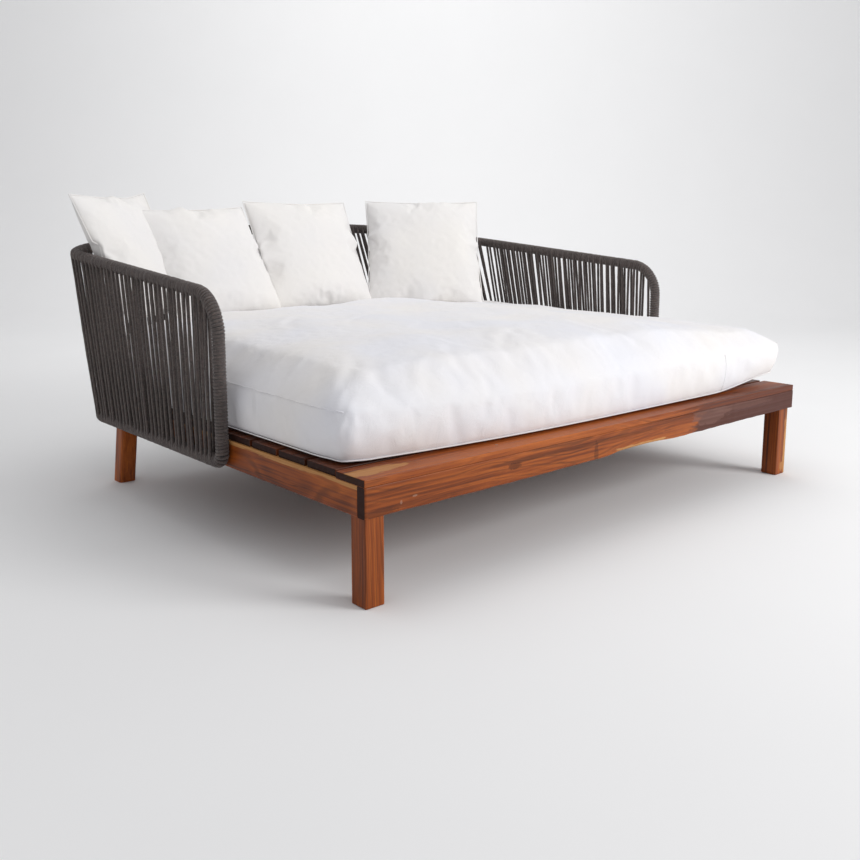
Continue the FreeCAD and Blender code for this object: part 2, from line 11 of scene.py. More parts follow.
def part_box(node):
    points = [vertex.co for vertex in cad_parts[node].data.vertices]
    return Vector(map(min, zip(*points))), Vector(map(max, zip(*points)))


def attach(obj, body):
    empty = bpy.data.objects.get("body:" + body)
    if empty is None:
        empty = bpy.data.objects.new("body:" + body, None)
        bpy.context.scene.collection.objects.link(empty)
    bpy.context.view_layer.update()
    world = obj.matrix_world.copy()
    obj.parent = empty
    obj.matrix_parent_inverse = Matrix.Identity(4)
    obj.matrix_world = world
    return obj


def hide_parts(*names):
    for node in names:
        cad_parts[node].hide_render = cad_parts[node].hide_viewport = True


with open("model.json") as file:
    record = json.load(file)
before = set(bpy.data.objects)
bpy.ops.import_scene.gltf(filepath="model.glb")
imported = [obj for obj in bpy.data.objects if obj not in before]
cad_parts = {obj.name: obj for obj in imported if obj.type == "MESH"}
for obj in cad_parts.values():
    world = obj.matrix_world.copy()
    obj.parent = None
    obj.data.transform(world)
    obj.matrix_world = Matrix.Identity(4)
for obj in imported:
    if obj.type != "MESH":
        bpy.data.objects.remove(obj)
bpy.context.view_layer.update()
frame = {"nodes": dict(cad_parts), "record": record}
SCENE = bpy.context.scene

# ------------------------------------------------------------------ sizes from the frame, metres
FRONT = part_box("front_fascia")[0].y
DECK_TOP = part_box("front_cap_plank")[1].z
RAIL_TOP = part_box("front_cap_plank")[0].z
WRAP_LOW, WRAP_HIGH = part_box("arm_left_rope_wrap")
WRAP_RADIUS = (WRAP_HIGH.x - WRAP_LOW.x) / 2
ARM_X = -(WRAP_HIGH.x + WRAP_LOW.x) / 2
POST_Y = WRAP_LOW.y + WRAP_RADIUS
BOTTOM_Z = WRAP_LOW.z + WRAP_RADIUS
TUBE_RADIUS = WRAP_RADIUS / 2
ROPE_RADIUS = 0.0050
STRAND_RADIUS = 0.0052
WIND_RADIUS = TUBE_RADIUS + ROPE_RADIUS

# the same driving sizes as the tube frame's solids
ARM_FRONT_Z = 0.735
ARM_SLOPE = 0.078
BACK_BOTTOM_Y = FRONT + 1.565
BACK_TOP_Y = FRONT + 1.775
BACK_CROWN = radians(7.5)
POST_FOOT_BEND = 0.028
POST_TOP_BEND = 0.120
BOTTOM_CORNER_BEND = 0.070
TOP_CORNER_BEND = 0.150


def unit(vector):
    """The vector, or each row's vector, at length one."""
    vector = np.asarray(vector, float)
    return vector / np.linalg.norm(vector, axis=-1, keepdims=True)


def smooth(low, high, value):
    """0 below low, 1 above high, an even S between."""
    share = np.clip((value - low) / (high - low), 0, 1)
    return share * share * (3 - 2 * share)


# ================================================================== mesh building
def new_mesh(name, points, faces, body, material, uvs=None):
    """A piece from points and faces, smooth shaded, that rides on a body."""
    mesh = bpy.data.meshes.new(name)
    mesh.from_pydata([tuple(p) for p in points], [], faces)
    if uvs is not None:
        layer = mesh.uv_layers.new(name="UVMap")
        layer.data.foreach_set("uv", np.asarray(uvs, np.float32).ravel())
    mesh.polygons.foreach_set("use_smooth", [True] * len(mesh.polygons))
    mesh.update()
    piece = bpy.data.objects.new(name, mesh)
    SCENE.collection.objects.link(piece)
    piece.data.materials.append(material)
    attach(piece, body)
    return piece


class TubeBatch:
    """Many round strands gathered into one mesh, with UVs along and round each of them."""

    def __init__(self, sides=8):
        self.sides = sides
        self.points = []
        self.faces = []
        self.uvs = []
        self.count = 0

    def add(self, path, radius, spin=0.0, closed=False):
        """One strand along a path of points; radius is one number or one for each point."""
        path = np.asarray(path, float)
        rings = len(path)
        radius = np.broadcast_to(radius, rings)
        if closed:
            tangent = unit(np.roll(path, -1, 0) - np.roll(path, 1, 0))
        else:
            tangent = unit(np.gradient(path, axis=0))
        side = carried_sides(tangent, spin)
        up = np.cross(tangent, side)
        angle = np.linspace(0, 2 * pi, self.sides, endpoint=False)
        ring = side[:, None, :] * np.cos(angle)[None, :, None]
        ring = ring + up[:, None, :] * np.sin(angle)[None, :, None]
        self.points.append((path[:, None, :] + ring * radius[:, None, None]).reshape(-1, 3))
        along = np.concatenate([[0], np.cumsum(np.linalg.norm(np.diff(path, axis=0), axis=1))])
        around = 2 * pi * float(radius.mean())
        spans = rings if closed else rings - 1
        for i in range(spans):
            j = (i + 1) % rings
            v_low, v_high = along[i], along[i] + np.linalg.norm(path[j] - path[i])
            for k in range(self.sides):
                m = (k + 1) % self.sides
                a = self.count + i * self.sides
                b = self.count + j * self.sides
                self.faces.append((a + k, a + m, b + m, b + k))
                u_low, u_high = around * k / self.sides, around * (k + 1) / self.sides
                self.uvs += [(u_low, v_low), (u_high, v_low), (u_high, v_high), (u_low, v_high)]
        if not closed:
            first = [self.count + k for k in range(self.sides)]
            last = [self.count + (rings - 1) * self.sides + k for k in range(self.sides)]
            self.faces.append(tuple(reversed(first)))
            self.faces.append(tuple(last))
            self.uvs += [(0.0, 0.0)] * (2 * self.sides)
        self.count += rings * self.sides

    def make(self, name, body, material):
        """The finished piece."""
        points = np.concatenate(self.points)
        return new_mesh(name, points, self.faces, body, material, self.uvs)


def carried_sides(tangent, spin):
    """A side direction at each point, carried along the path without twisting."""
    start = np.cross(tangent[0], (0.0, 0.0, 1.0))
    if np.linalg.norm(start) < 0.1:
        start = np.cross(tangent[0], (1.0, 0.0, 0.0))
    start = unit(start)
    side = start * cos(spin) + np.cross(tangent[0], start) * sin(spin)
    sides = [side]
    for direction in tangent[1:]:
        side = unit(side - direction * np.dot(side, direction))
        sides.append(side)
    return np.array(sides)


# ================================================================== paths of the tube frame
def rounded(points, radii, step=0.004):
    """Dense points along straight runs joined by tangent arcs."""
    points = [np.asarray(p, float) for p in points]
    line = [points[0]]
    for corner, following, radius in zip(points[1:], points[2:], radii):
        into = unit(corner - line[-1])
        out = unit(following - corner)
        half = acos(float(np.dot(into, out))) / 2
        start = corner - into * radius * tan(half)
        centre = corner + unit(out - into) * radius / cos(half)
        line += straight(line[-1], start, step)
        turns = np.linspace(0, 2 * half, max(4, ceil(2 * half * radius / step)) + 1)[1:]
        line += [centre + (start - centre) * cos(t) + into * radius * sin(t) for t in turns]
    line += straight(line[-1], points[-1], step)
    return np.array(line)


def straight(start, end, step):
    """Points after start up to end."""
    length = np.linalg.norm(end - start)
    if length < 1e-5:
        return []
    shares = np.linspace(0, 1, max(1, ceil(length / step)) + 1)[1:]
    return [start + (end - start) * share for share in shares]


class Path:
    """A dense line that can be asked for its point, direction and outward side by length."""

    def __init__(self, line, outward):
        self.line = line
        steps = np.linalg.norm(np.diff(line, axis=0), axis=1)
        self.at = np.concatenate([[0], np.cumsum(steps)])
        self.length = self.at[-1]
        self.tangents = unit(np.gradient(line, self.at, axis=0))
        self.outwards = outward(self.tangents)

    def between(self, s, rows):
        """The rows' values at length s."""
        return np.stack([np.interp(s, self.at, rows[:, k]) for k in range(3)], -1)

    def point(self, s):
        """Place at length s."""
        return self.between(s, self.line)

    def direction(self, s):
        """Heading at length s."""
        return unit(self.between(s, self.tangents))

    def outward(self, s):
        """Side that looks away from the seat at length s."""
        return unit(self.between(s, self.outwards))


def turned_out(tangents):
    """Outward side of a rail that runs clockwise round the seat, seen from above."""
    return unit(-np.cross(tangents, (0.0, 0.0, 1.0)))


ARM_END_DIRECTION = unit((0.0, 1.0, ARM_SLOPE))
TOP_CORNER = np.array((-ARM_X, BACK_TOP_Y, ARM_FRONT_Z + ARM_SLOPE * (BACK_TOP_Y - POST_Y)))
BOTTOM_CORNER = np.array((-ARM_X, BACK_BOTTOM_Y, BOTTOM_Z))
BACK_UP = unit((0.0, TOP_CORNER[1] - BACK_BOTTOM_Y, TOP_CORNER[2] - BOTTOM_Z))
BACK_DIRECTION = np.array((cos(BACK_CROWN), 0.0, 0.0)) + BACK_UP * sin(BACK_CROWN)
CORNER_HALF = acos(float(np.dot(ARM_END_DIRECTION, BACK_DIRECTION))) / 2
ARM_END = TOP_CORNER - ARM_END_DIRECTION * TOP_CORNER_BEND * tan(CORNER_HALF)
BACK_START = TOP_CORNER + BACK_DIRECTION * TOP_CORNER_BEND * tan(CORNER_HALF)
BOTTOM_ARM_END = BOTTOM_CORNER - np.array((0.0, BOTTOM_CORNER_BEND, 0.0))
BOTTOM_BACK_START = BOTTOM_CORNER + np.array((BOTTOM_CORNER_BEND, 0.0, 0.0))
MIRROR = np.array((-1.0, 1.0, 1.0))


def back_top_line():
    """Crowned rail between the two top corners, an arc in the back's plane."""
    half = -BACK_START[0]
    radius = half / sin(BACK_CROWN)
    x = np.linspace(-half, half, 400)
    rise = np.sqrt(radius ** 2 - x ** 2) - radius * cos(BACK_CROWN)
    start = np.array((0.0, BACK_START[1], BACK_START[2]))
    return start + x[:, None] * np.array((1.0, 0.0, 0.0)) + rise[:, None] * BACK_UP


def top_half_corner():
    """Left corner of the back's top rail."""
    return rounded([ARM_END, TOP_CORNER, BACK_START], [TOP_CORNER_BEND])


def bottom_half_corner():
    """Left corner of the back's bottom rail."""
    return rounded([BOTTOM_ARM_END, BOTTOM_CORNER, BOTTOM_BACK_START], [BOTTOM_CORNER_BEND])


def arm_line():
    """Bottom rail from its rear end, bend, post, bend and top rail, on the left side."""
    foot = (-ARM_X, POST_Y, BOTTOM_Z)
    head = (-ARM_X, POST_Y, ARM_FRONT_Z)
    return rounded([BOTTOM_ARM_END, foot, head, ARM_END], [POST_FOOT_BEND, POST_TOP_BEND])


def whole_back(corner, middle):
    """Left corner, middle and right corner as one line."""
    right = (corner * MIRROR)[::-1]
    return np.concatenate([corner, middle[1:-1], right])


# ================================================================== rope
WIND_PITCH = 0.0098
WIND_STEPS = 18           # points along each turn
WIND_LAG = 0.10           # how unevenly the turns are spaced, radians
WIND_PROUD = 0.00025      # how unevenly they stand out from the tube
WIND_SIDES = 8


def winding(path, batch, rng):
    """Rope wound round a rail, turn beside turn, with a hand's small unevenness."""
    turns = round(path.length / WIND_PITCH)
    s = np.linspace(0, path.length, turns * WIND_STEPS)
    turn_starts = np.linspace(0, path.length, turns + 1)
    uneven = np.interp(s, turn_starts, rng.normal(0, 1, turns + 1))
    angle = 2 * pi * turns * s / path.length + WIND_LAG * uneven
    outward = path.outward(s)
    second = np.cross(path.direction(s), outward)
    proud = np.interp(s, turn_starts, rng.normal(0, 1, turns + 1))
    reach = WIND_RADIUS + WIND_PROUD * proud
    line = path.point(s) + outward * (reach * np.cos(angle))[:, None]
    line = line + second * (reach * np.sin(angle))[:, None]
    batch.add(line, ROPE_RADIUS * 1.03)


CURL = np.linspace(-2.5, 0.0, 8)      # a strand's turn round a rail, radians
STRAND_ROWS = 26
STRAND_SIDES = 10
STRAND_REACH = WIND_RADIUS + 0.0008
STRAND_WANDER = 0.0017    # how far a strand's ends stray along the rails
STRAND_BOW = 0.0022       # how far its middle sways along the rails
STRAND_BELLY = 0.0008     # and out of the row
STRAND_PLUMP = 0.035      # how much its thickness varies, as a share
STRAND_JITTER = 0.0034    # unevenness of the spacing


def strand(low, high, low_out, high_out, sign, rng, batch, low_along, high_along):
    """One strand: under the bottom rail, straight up one side, and over the top rail."""
    up = unit(high - low)
    wander = rng.normal(0, STRAND_WANDER, 2)
    low = low + low_along * wander[0]
    high = high + high_along * wander[1]
    line = []
    for angle in CURL:
        turn = low_out * sign * STRAND_REACH * cos(angle) + up * STRAND_REACH * sin(angle)
        line.append(low + turn)
    start = line[-1]
    end = high + high_out * sign * STRAND_REACH
    bow = rng.normal(0, STRAND_BOW)
    belly = rng.normal(0, STRAND_BELLY)
    for share in np.linspace(0, 1, STRAND_ROWS)[1:-1]:
        shape = sin(pi * share)
        sway = low_along * (bow * shape) + low_out * (belly * shape)
        line.append(start + (end - start) * share + sway)
    for angle in -CURL[::-1]:
        turn = high_out * sign * STRAND_REACH * cos(angle) + up * STRAND_REACH * sin(angle)
        line.append(high + turn)
    thickness = STRAND_RADIUS * (1 + rng.normal(0, STRAND_PLUMP, len(line)))
    batch.add(np.array(line), thickness, spin=rng.uniform(0, 2 * pi))


def strand_field(low_path, low_s, high_path, high_s, batch, rng, stagger):
    """Strands on both sides of two rails, the inner ones staggered by a share of the spacing."""
    order = np.arange(len(low_s))
    for layer, sign in enumerate((1.0, -1.0)):
        places = order[:len(order) - layer] + stagger * layer
        steps_low = np.interp(places, order, low_s)
        steps_high = np.interp(places, order, high_s)
        for s_low, s_high in zip(steps_low, steps_high):
            s_low = s_low + rng.normal(0, STRAND_JITTER)
            s_high = s_high + rng.normal(0, STRAND_JITTER)
            strand(
                low_path.point(s_low), high_path.point(s_high),
                low_path.outward(s_low), high_path.outward(s_high),
                sign, rng, batch,
                low_path.direction(s_low), high_path.direction(s_high),
            )


def arm_outward(side):
    """Outward side of an arm's rails, the same all along."""
    return lambda tangents: np.broadcast_to(np.array((side, 0.0, 0.0)), tangents.shape).copy()


ARM_INTERVALS = 30
CORNER_INTERVALS = 6
BACK_INTERVALS = 62
FIRST_STRAND = 0.045      # first strand's distance behind the post
STAGGER = {"left": 0.25, "right": 0.5, "back": 0.5}


def arm_stations(line):
    """Lengths along the arm's line of the strands' low and high ends, front to back."""
    steps = np.linalg.norm(np.diff(line, axis=0), axis=1)
    at = np.concatenate([[0], np.cumsum(steps)])
    foot = int(np.argmin(np.abs(line[:, 1] - POST_Y) + np.abs(line[:, 2] - 0.5)))
    low_y = np.linspace(POST_Y + FIRST_STRAND, BOTTOM_ARM_END[1], ARM_INTERVALS + 1)
    high_y = np.linspace(POST_Y + FIRST_STRAND, ARM_END[1], ARM_INTERVALS + 1)
    low_s = np.interp(-low_y, -line[:foot, 1], at[:foot])
    high_s = np.interp(high_y, line[foot:, 1], at[foot:])
    return low_s, high_s


def wind_rail(path, name, rng, material):
    """The winding of one whole rail."""
    wound = TubeBatch(WIND_SIDES)
    winding(path, wound, rng)
    return wound.make(name + "_winding", "frame", material)


def make_arm_rope(material):
    """Windings and strands of both arms."""
    arm = arm_line()
    low_s, high_s = arm_stations(arm)
    for side, name, seed in ((-1.0, "left", 11), (1.0, "right", 23)):
        rng = np.random.default_rng(seed)
        line = arm if side < 0 else arm * MIRROR
        path = Path(line, arm_outward(side))
        piece = wind_rail(path, "arm_" + name, rng, material)
        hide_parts("arm_%s_rope_wrap" % name)
        strands = TubeBatch(STRAND_SIDES)
        strand_field(path, low_s, path, high_s, strands, rng, STAGGER[name])
        piece = strands.make("arm_%s_strands" % name, "frame", material)
        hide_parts("arm_%s_rope" % name)


def line_length(line):
    """Length along a line of points."""
    return float(np.linalg.norm(np.diff(line, axis=0), axis=1).sum())


def make_back_rope(material):
    """Windings of the back's two rails, and the strands of the corners and the back."""
    low_corner, top_corner = bottom_half_corner(), top_half_corner()
    run = straight(BOTTOM_BACK_START, BOTTOM_BACK_START * MIRROR, 0.01)
    lines = {
        "back_bottom": whole_back(low_corner, np.array([BOTTOM_BACK_START] + run)),
        "back_top": whole_back(top_corner, back_top_line()),
    }
    paths = {}
    for name, line in lines.items():
        rng = np.random.default_rng(len(name))
        paths[name] = Path(line, turned_out)
        piece = wind_rail(paths[name], name, rng, material)
        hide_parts(name + "_rope_wrap")

    low, high = paths["back_bottom"], paths["back_top"]
    low_turn, high_turn = line_length(low_corner), line_length(top_corner)
    low_rest, high_rest = low.length - low_turn, high.length - high_turn
    # stretch of the bottom rail, stretch of the top rail, intervals, strands kept
    spans = {
        "corner_left": ((0.0, low_turn), (0.0, high_turn), CORNER_INTERVALS, slice(1, None)),
        "corner_right": (
            (low_rest, low.length), (high_rest, high.length), CORNER_INTERVALS, slice(None, -1),
        ),
        "back": ((low_turn, low_rest), (high_turn, high_rest), BACK_INTERVALS, slice(1, -1)),
    }
    for name, (low_span, high_span, intervals, kept) in spans.items():
        rng = np.random.default_rng(40 + len(name))
        places = np.linspace(0, 1, intervals + 1)[kept]
        low_s = low_span[0] + (low_span[1] - low_span[0]) * places
        high_s = high_span[0] + (high_span[1] - high_span[0]) * places
        strands = TubeBatch(STRAND_SIDES)
        strand_field(low, low_s, high, high_s, strands, rng, STAGGER["back"])
        piece = strands.make(name + "_strands", "frame", material)
        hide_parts(name + "_rope")


# ================================================================== materials
class Graph:
    """A material's node tree, with one short call for each node."""

    def __init__(self, name):
        self.material = bpy.data.materials.new(name)
        self.material.use_nodes = True
        self.tree = self.material.node_tree
        self.tree.nodes.clear()
        self.shader = self.tree.nodes.new("ShaderNodeBsdfPrincipled")
        output = self.tree.nodes.new("ShaderNodeOutputMaterial")
        self.tree.links.new(self.shader.outputs[0], output.inputs[0])

    def set(self, socket, value):
        """Links a node's output to a socket, or gives the socket a constant."""
        if isinstance(value, bpy.types.NodeSocket):
            self.tree.links.new(value, socket)
        else:
            socket.default_value = value

    def surface(self, values):
        """Sets or links the shader's own sockets, by name."""
        for name, value in values.items():
            self.set(self.shader.inputs[name], value)

    def node(self, kind, inputs=None, **settings):
        """A node with its inputs and its settings."""
        node = self.tree.nodes.new("ShaderNode" + kind)
        for key, value in settings.items():
            setattr(node, key, value)
        for key, value in (inputs or {}).items():
            self.set(node.inputs[key], value)
        return node

    def math(self, operation, a, b=0.0):
        """One sum on numbers."""
        return self.node("Math", {0: a, 1: b}, operation=operation).outputs[0]

    def add(self, a, b):
        """a + b"""
        return self.math("ADD", a, b)

    def times(self, a, b):
        """a * b"""
        return self.math("MULTIPLY", a, b)

    def centred(self, value):
        """A noise value moved down by a half, to lie about zero."""
        return self.math("SUBTRACT", value, 0.5)

    def vector(self, operation, a, b=(0.0, 0.0, 0.0)):
        """One sum on vectors."""
        node = self.node("VectorMath", {0: a, 1: b}, operation=operation)
        return node.outputs["Value" if operation in ("LENGTH", "DOT_PRODUCT") else 0]

    def noise(self, vector, scale, detail=3.0, rough=0.5, distortion=0.0):
        """Noise value about a half."""
        inputs = {
            "Vector": vector, "Scale": scale, "Detail": detail,
            "Roughness": rough, "Distortion": distortion,
        }
        return self.node("TexNoise", inputs).outputs[0]

    def ramp(self, value, stops):
        """Colour ramp; stops are (place, colour)."""
        node = self.node("ValToRGB", {0: value})
        ramp = node.color_ramp
        while len(ramp.elements) < len(stops):
            ramp.elements.new(0.5)
        for element, (place, colour) in zip(ramp.elements, stops):
            element.position = place
            element.color = (*colour, 1.0)
        return node.outputs[0]

    def range(self, value, low, high, to_low=0.0, to_high=1.0):
        """Value from low to high carried to the other pair, held inside it."""
        inputs = {0: value, 1: low, 2: high, 3: to_low, 4: to_high}
        return self.node("MapRange", inputs, clamp=True).outputs[0]

    def mix(self, factor, a, b):
        """Colour a turning into colour b; a plain colour is three numbers."""
        node = self.node("Mix", data_type="RGBA")
        for place, value in ((0, factor), (6, a), (7, b)):
            self.set(node.inputs[place], (*value, 1.0) if isinstance(value, tuple) else value)
        return node.outputs[2]

    def bump(self, height, strength, distance, normal=None):
        """Surface direction bent by a height."""
        inputs = {"Height": height, "Strength": strength, "Distance": distance}
        if normal is not None:
            inputs["Normal"] = normal
        return self.node("Bump", inputs).outputs[0]


def colour(red, green, blue):
    """A display colour, 0 to 255, as linear light."""
    def linear(value):
        value = value / 255
        return value / 12.92 if value <= 0.04045 else ((value + 0.055) / 1.055) ** 2.4
    return (linear(red), linear(green), linear(blue))


def darker(shade, share):
    """A shade at a share of its brightness."""
    return tuple(value * share for value in shade)


YARNS = 8                 # pairs of yarns round the rope


def rope_material():
    """Round braided outdoor rope, charcoal with warm and grey yarns, with painted shade in the
    grooves between the yarns.
    """
    g = Graph("rope_charcoal")
    uv = g.node("TexCoord").outputs["UV"]
    place = g.node("TexCoord").outputs["Object"]
    parts = g.node("SeparateXYZ", {0: uv})
    across, along = [g.times(parts.outputs[axis], YARNS / ROPE_RADIUS) for axis in (0, 1)]
    rising = g.math("SINE", g.add(across, along))
    falling = g.math("SINE", g.math("SUBTRACT", across, along))
    plait = g.math("MAXIMUM", rising, falling)
    tint = g.noise(place, 90.0, 4.0, 0.7)
    fleck = g.noise(place, 330.0, 2.0, 0.65)
    base = g.ramp(tint, [
        (0.34, colour(72, 64, 62)), (0.5, colour(88, 78, 75)), (0.68, colour(102, 88, 82)),
    ])
    base = g.mix(g.range(fleck, 0.5, 0.72, 0.0, 0.75), base, colour(140, 129, 124))
    # painted shade: where the plait is low, in the grooves between the yarns, the colour is darkened
    # to near black
    base = g.mix(g.range(plait, 0.2, -0.6, 0.0, 0.75), base, colour(30, 26, 25))
    g.surface({
        "Base Color": base,
        "Roughness": g.range(fleck, 0.3, 0.7, 0.72, 0.9),
        "Sheen Weight": 0.25,
        "Sheen Roughness": 0.5,
        "Specular IOR Level": 0.3,
        "Normal": g.bump(g.add(plait, g.times(fleck, 0.8)), 0.8, 0.0007),
    })
    return g.material


GRAIN_ORDER = {"X": (0, 1, 2), "Y": (1, 0, 2), "Z": (2, 0, 1)}
GRAIN_AXIS = {"X": (1.0, 0.0, 0.0), "Y": (0.0, 1.0, 0.0), "Z": (0.0, 0.0, 1.0)}
RING_WIDTH = 0.013        # one growth ring


def mark(g, place, centre, size, wobble):
    """0 to 1 mask: an uneven patch about centre."""
    local = g.vector("DIVIDE", g.vector("SUBTRACT", place, centre), size)
    ragged = g.times(g.centred(g.noise(local, 2.6, 4.0, 0.62)), 1.5)
    distance = g.add(g.add(g.vector("LENGTH", local), wobble), ragged)
    return g.range(distance, 1.0, 0.84)


def growth_rings(g, cross, seed, shift):
    """Waves round a heart that lies outside the board, drawn aside by the shift."""
    depth = g.add(cross[1], 0.06 + 0.013 * (seed % 5))
    sideways = g.add(cross[0], 0.02 * ((seed * 7) % 5) - 0.04)
    radius = g.math("SQRT", g.add(g.math("POWER", depth, 2.0), g.math("POWER", sideways, 2.0)))
    return g.math("SINE", g.times(g.add(radius, shift), 2 * pi / RING_WIDTH))


def wood_figure(g, tone, rings, broad, streak):
    """The wood's main colour, from the dark to the light of its tone."""
    light, middle, dark = tone
    figure = g.add(g.times(broad, 0.55), g.times(rings, 0.035))
    figure = g.add(figure, g.times(streak, 0.45))
    return g.ramp(figure, [(0.36, dark), (0.48, middle), (0.62, light)])


def end_grain_and_shade(g, place, grain):
    """0 to 1 mask of the faces across the grain, and their dark tone: the end grain's own darker
    colour, deepened by painted shade.
    """
    normal = g.node("NewGeometry").outputs["Normal"]
    facing = g.math("ABSOLUTE", g.vector("DOT_PRODUCT", normal, GRAIN_AXIS[grain]))
    speckle = g.range(g.noise(place, 520.0, 2.0), 0.4, 0.65)
    # painted shade: the end faces' own darker tone is taken down to near black for the shade on the
    # boards' ends
    tone = g.mix(speckle, colour(24, 9, 6), colour(50, 19, 11))
    return g.range(facing, 0.7, 0.9), tone


def wood_material(name, grain, seed, tone, marks=()):
    """Oiled hardwood: growth rings, dark veins, fine pores, dark end grain deepened by painted shade,
    and odd marks.
    """
    g = Graph(name)
    place = g.node("TexCoord").outputs["Object"]
    parts = g.node("SeparateXYZ", {0: place})
    along, *cross = [parts.outputs[axis] for axis in GRAIN_ORDER[grain]]
    lengthwise = g.add(along, seed * 3.17)
    offsets = (seed * 1.31, seed * 0.77)

    def stretched(a, b, *settings):
        """Noise at a along the grain and b across it, per metre."""
        axes = {0: g.times(lengthwise, a)}
        for number in (0, 1):
            axes[number + 1] = g.times(g.add(cross[number], offsets[number]), b)
        return g.noise(g.node("CombineXYZ", axes).outputs[0], 1.0, *settings)

    drift = stretched(1.1, 5.0, 2.0, 0.45)
    ripple = stretched(2.6, 20.0, 3.0, 0.5)
    rings = growth_rings(g, cross, seed, g.add(g.times(drift, 0.16), g.times(ripple, 0.018)))
    broad = stretched(0.9, 9.0, 3.0, 0.5)
    streak = stretched(1.6, 110.0, 4.0, 0.6)
    pores = stretched(26.0, 900.0, 2.0, 0.5)
    vein = stretched(0.9, 20.0, 4.0, 0.5, 0.4)

    base = wood_figure(g, tone, rings, broad, streak)
    lines = g.times(g.range(rings, 0.62, 1.0, 0.0, 0.55), g.range(drift, 0.35, 0.6))
    base = g.mix(lines, base, colour(58, 24, 10))
    veins = g.range(g.math("ABSOLUTE", g.centred(vein)), 0.016, 0.0, 0.0, 0.75)
    base = g.mix(g.times(veins, g.range(broad, 0.56, 0.40)), base, colour(36, 14, 7))
    base = g.mix(g.range(pores, 0.58, 0.74, 0.0, 0.5), base, colour(44, 18, 8))

    wobble = g.times(g.centred(stretched(6.0, 34.0, 4.0)), 1.1)
    roughness = g.range(streak, 0.3, 0.7, 0.36, 0.54)
    for centre, size, shade, strength in marks:
        mask = g.times(mark(g, place, centre, size, wobble), strength)
        base = g.mix(mask, base, g.mix(g.range(streak, 0.35, 0.7), shade, darker(shade, 0.72)))
        roughness = g.add(roughness, g.times(mask, 0.18))

    # the end faces take the end grain's own dark tone together with painted shade
    end, end_grain_shade_tone = end_grain_and_shade(g, place, grain)
    coarse = g.bump(g.add(streak, g.times(rings, 0.15)), 0.35, 0.0006)
    g.surface({
        "Base Color": g.mix(g.times(end, 0.96), base, end_grain_shade_tone),
        "Roughness": g.add(roughness, g.times(end, 0.3)),
        "Specular IOR Level": 0.24,
        "Coat Weight": 0.05,
        "Coat Roughness": 0.3,
        "Normal": g.bump(pores, 0.3, 0.0003, coarse),
    })
    return g.material


WEAVE = 0.0012            # one thread and its gap


def cotton_material(name, warm, cool, crumple):
    """White woven cotton: fine weave from the cloth's own UVs, soft crumples, a little sheen."""
    g = Graph(name)
    uv = g.node("TexCoord").outputs["UV"]
    place = g.node("TexCoord").outputs["Object"]
    parts = g.node("SeparateXYZ", {0: uv})
    warp, weft = [g.math("SINE", g.times(parts.outputs[axis], 2 * pi / WEAVE)) for axis in (0, 1)]
    cloth = g.times(warp, weft)
    slub = g.noise(place, 60.0, 3.0, 0.6)
    base = g.mix(g.range(g.noise(place, 3.0, 2.0), 0.35, 0.65), warm, cool)
    folds = g.bump(g.noise(place, 16.0, 4.0, 0.55, 0.7), crumple, 0.012)
    g.surface({
        "Base Color": g.mix(g.range(cloth, 0.0, 1.0, 0.0, 0.05), base, darker(warm, 0.8)),
        "Roughness": g.range(slub, 0.3, 0.7, 0.82, 0.95),
        "Sheen Weight": 0.2,
        "Sheen Roughness": 0.45,
        "Specular IOR Level": 0.25,
        "Normal": g.bump(g.add(cloth, g.times(slub, 1.5)), 0.25, 0.0002, folds),
    })
    return g.material


def metal_material(name, shade, roughness, metallic):
    """Painted or plated steel with fine mottling."""
    g = Graph(name)
    place = g.node("TexCoord").outputs["Object"]
    stain = g.noise(place, 14.0, 3.0)
    g.surface({
        "Base Color": g.mix(g.range(stain, 0.4, 0.7, 0.0, 0.5), shade, darker(shade, 0.65)),
        "Roughness": g.range(stain, 0.3, 0.7, roughness, roughness + 0.15),
        "Metallic": metallic,
        "Normal": g.bump(g.noise(place, 900.0, 2.0), 0.2, 0.0002),
    })
    return g.material


def floor_material():
    """Plain pale studio floor with the faintest mottling."""
    g = Graph("studio_floor")
    place = g.node("TexCoord").outputs["Object"]
    g.surface({
        "Base Color": g.mix(g.noise(place, 2.0, 2.0), (0.88, 0.88, 0.88), (0.90, 0.90, 0.90)),
        "Roughness": 0.9,
        "Specular IOR Level": 0.1,
    })
    return g.material


# ================================================================== wood and metal finishes
SLOTS = {entry["node"]: entry["material_slot"] for entry in frame["record"]["subparts"]}
SAPWOOD = colour(196, 142, 86)
PURPLE = colour(84, 50, 43)
GREYED = colour(132, 98, 88)
SCUFF = colour(196, 170, 150)
UMBER = colour(52, 22, 12)
WARM_TONE = (colour(174, 92, 32), colour(134, 64, 19), colour(70, 29, 9))
ORANGE_TONE = (colour(176, 94, 36), colour(138, 66, 22), colour(80, 34, 11))
DECK_TONE = (colour(112, 54, 22), colour(80, 36, 14), colour(40, 16, 7))


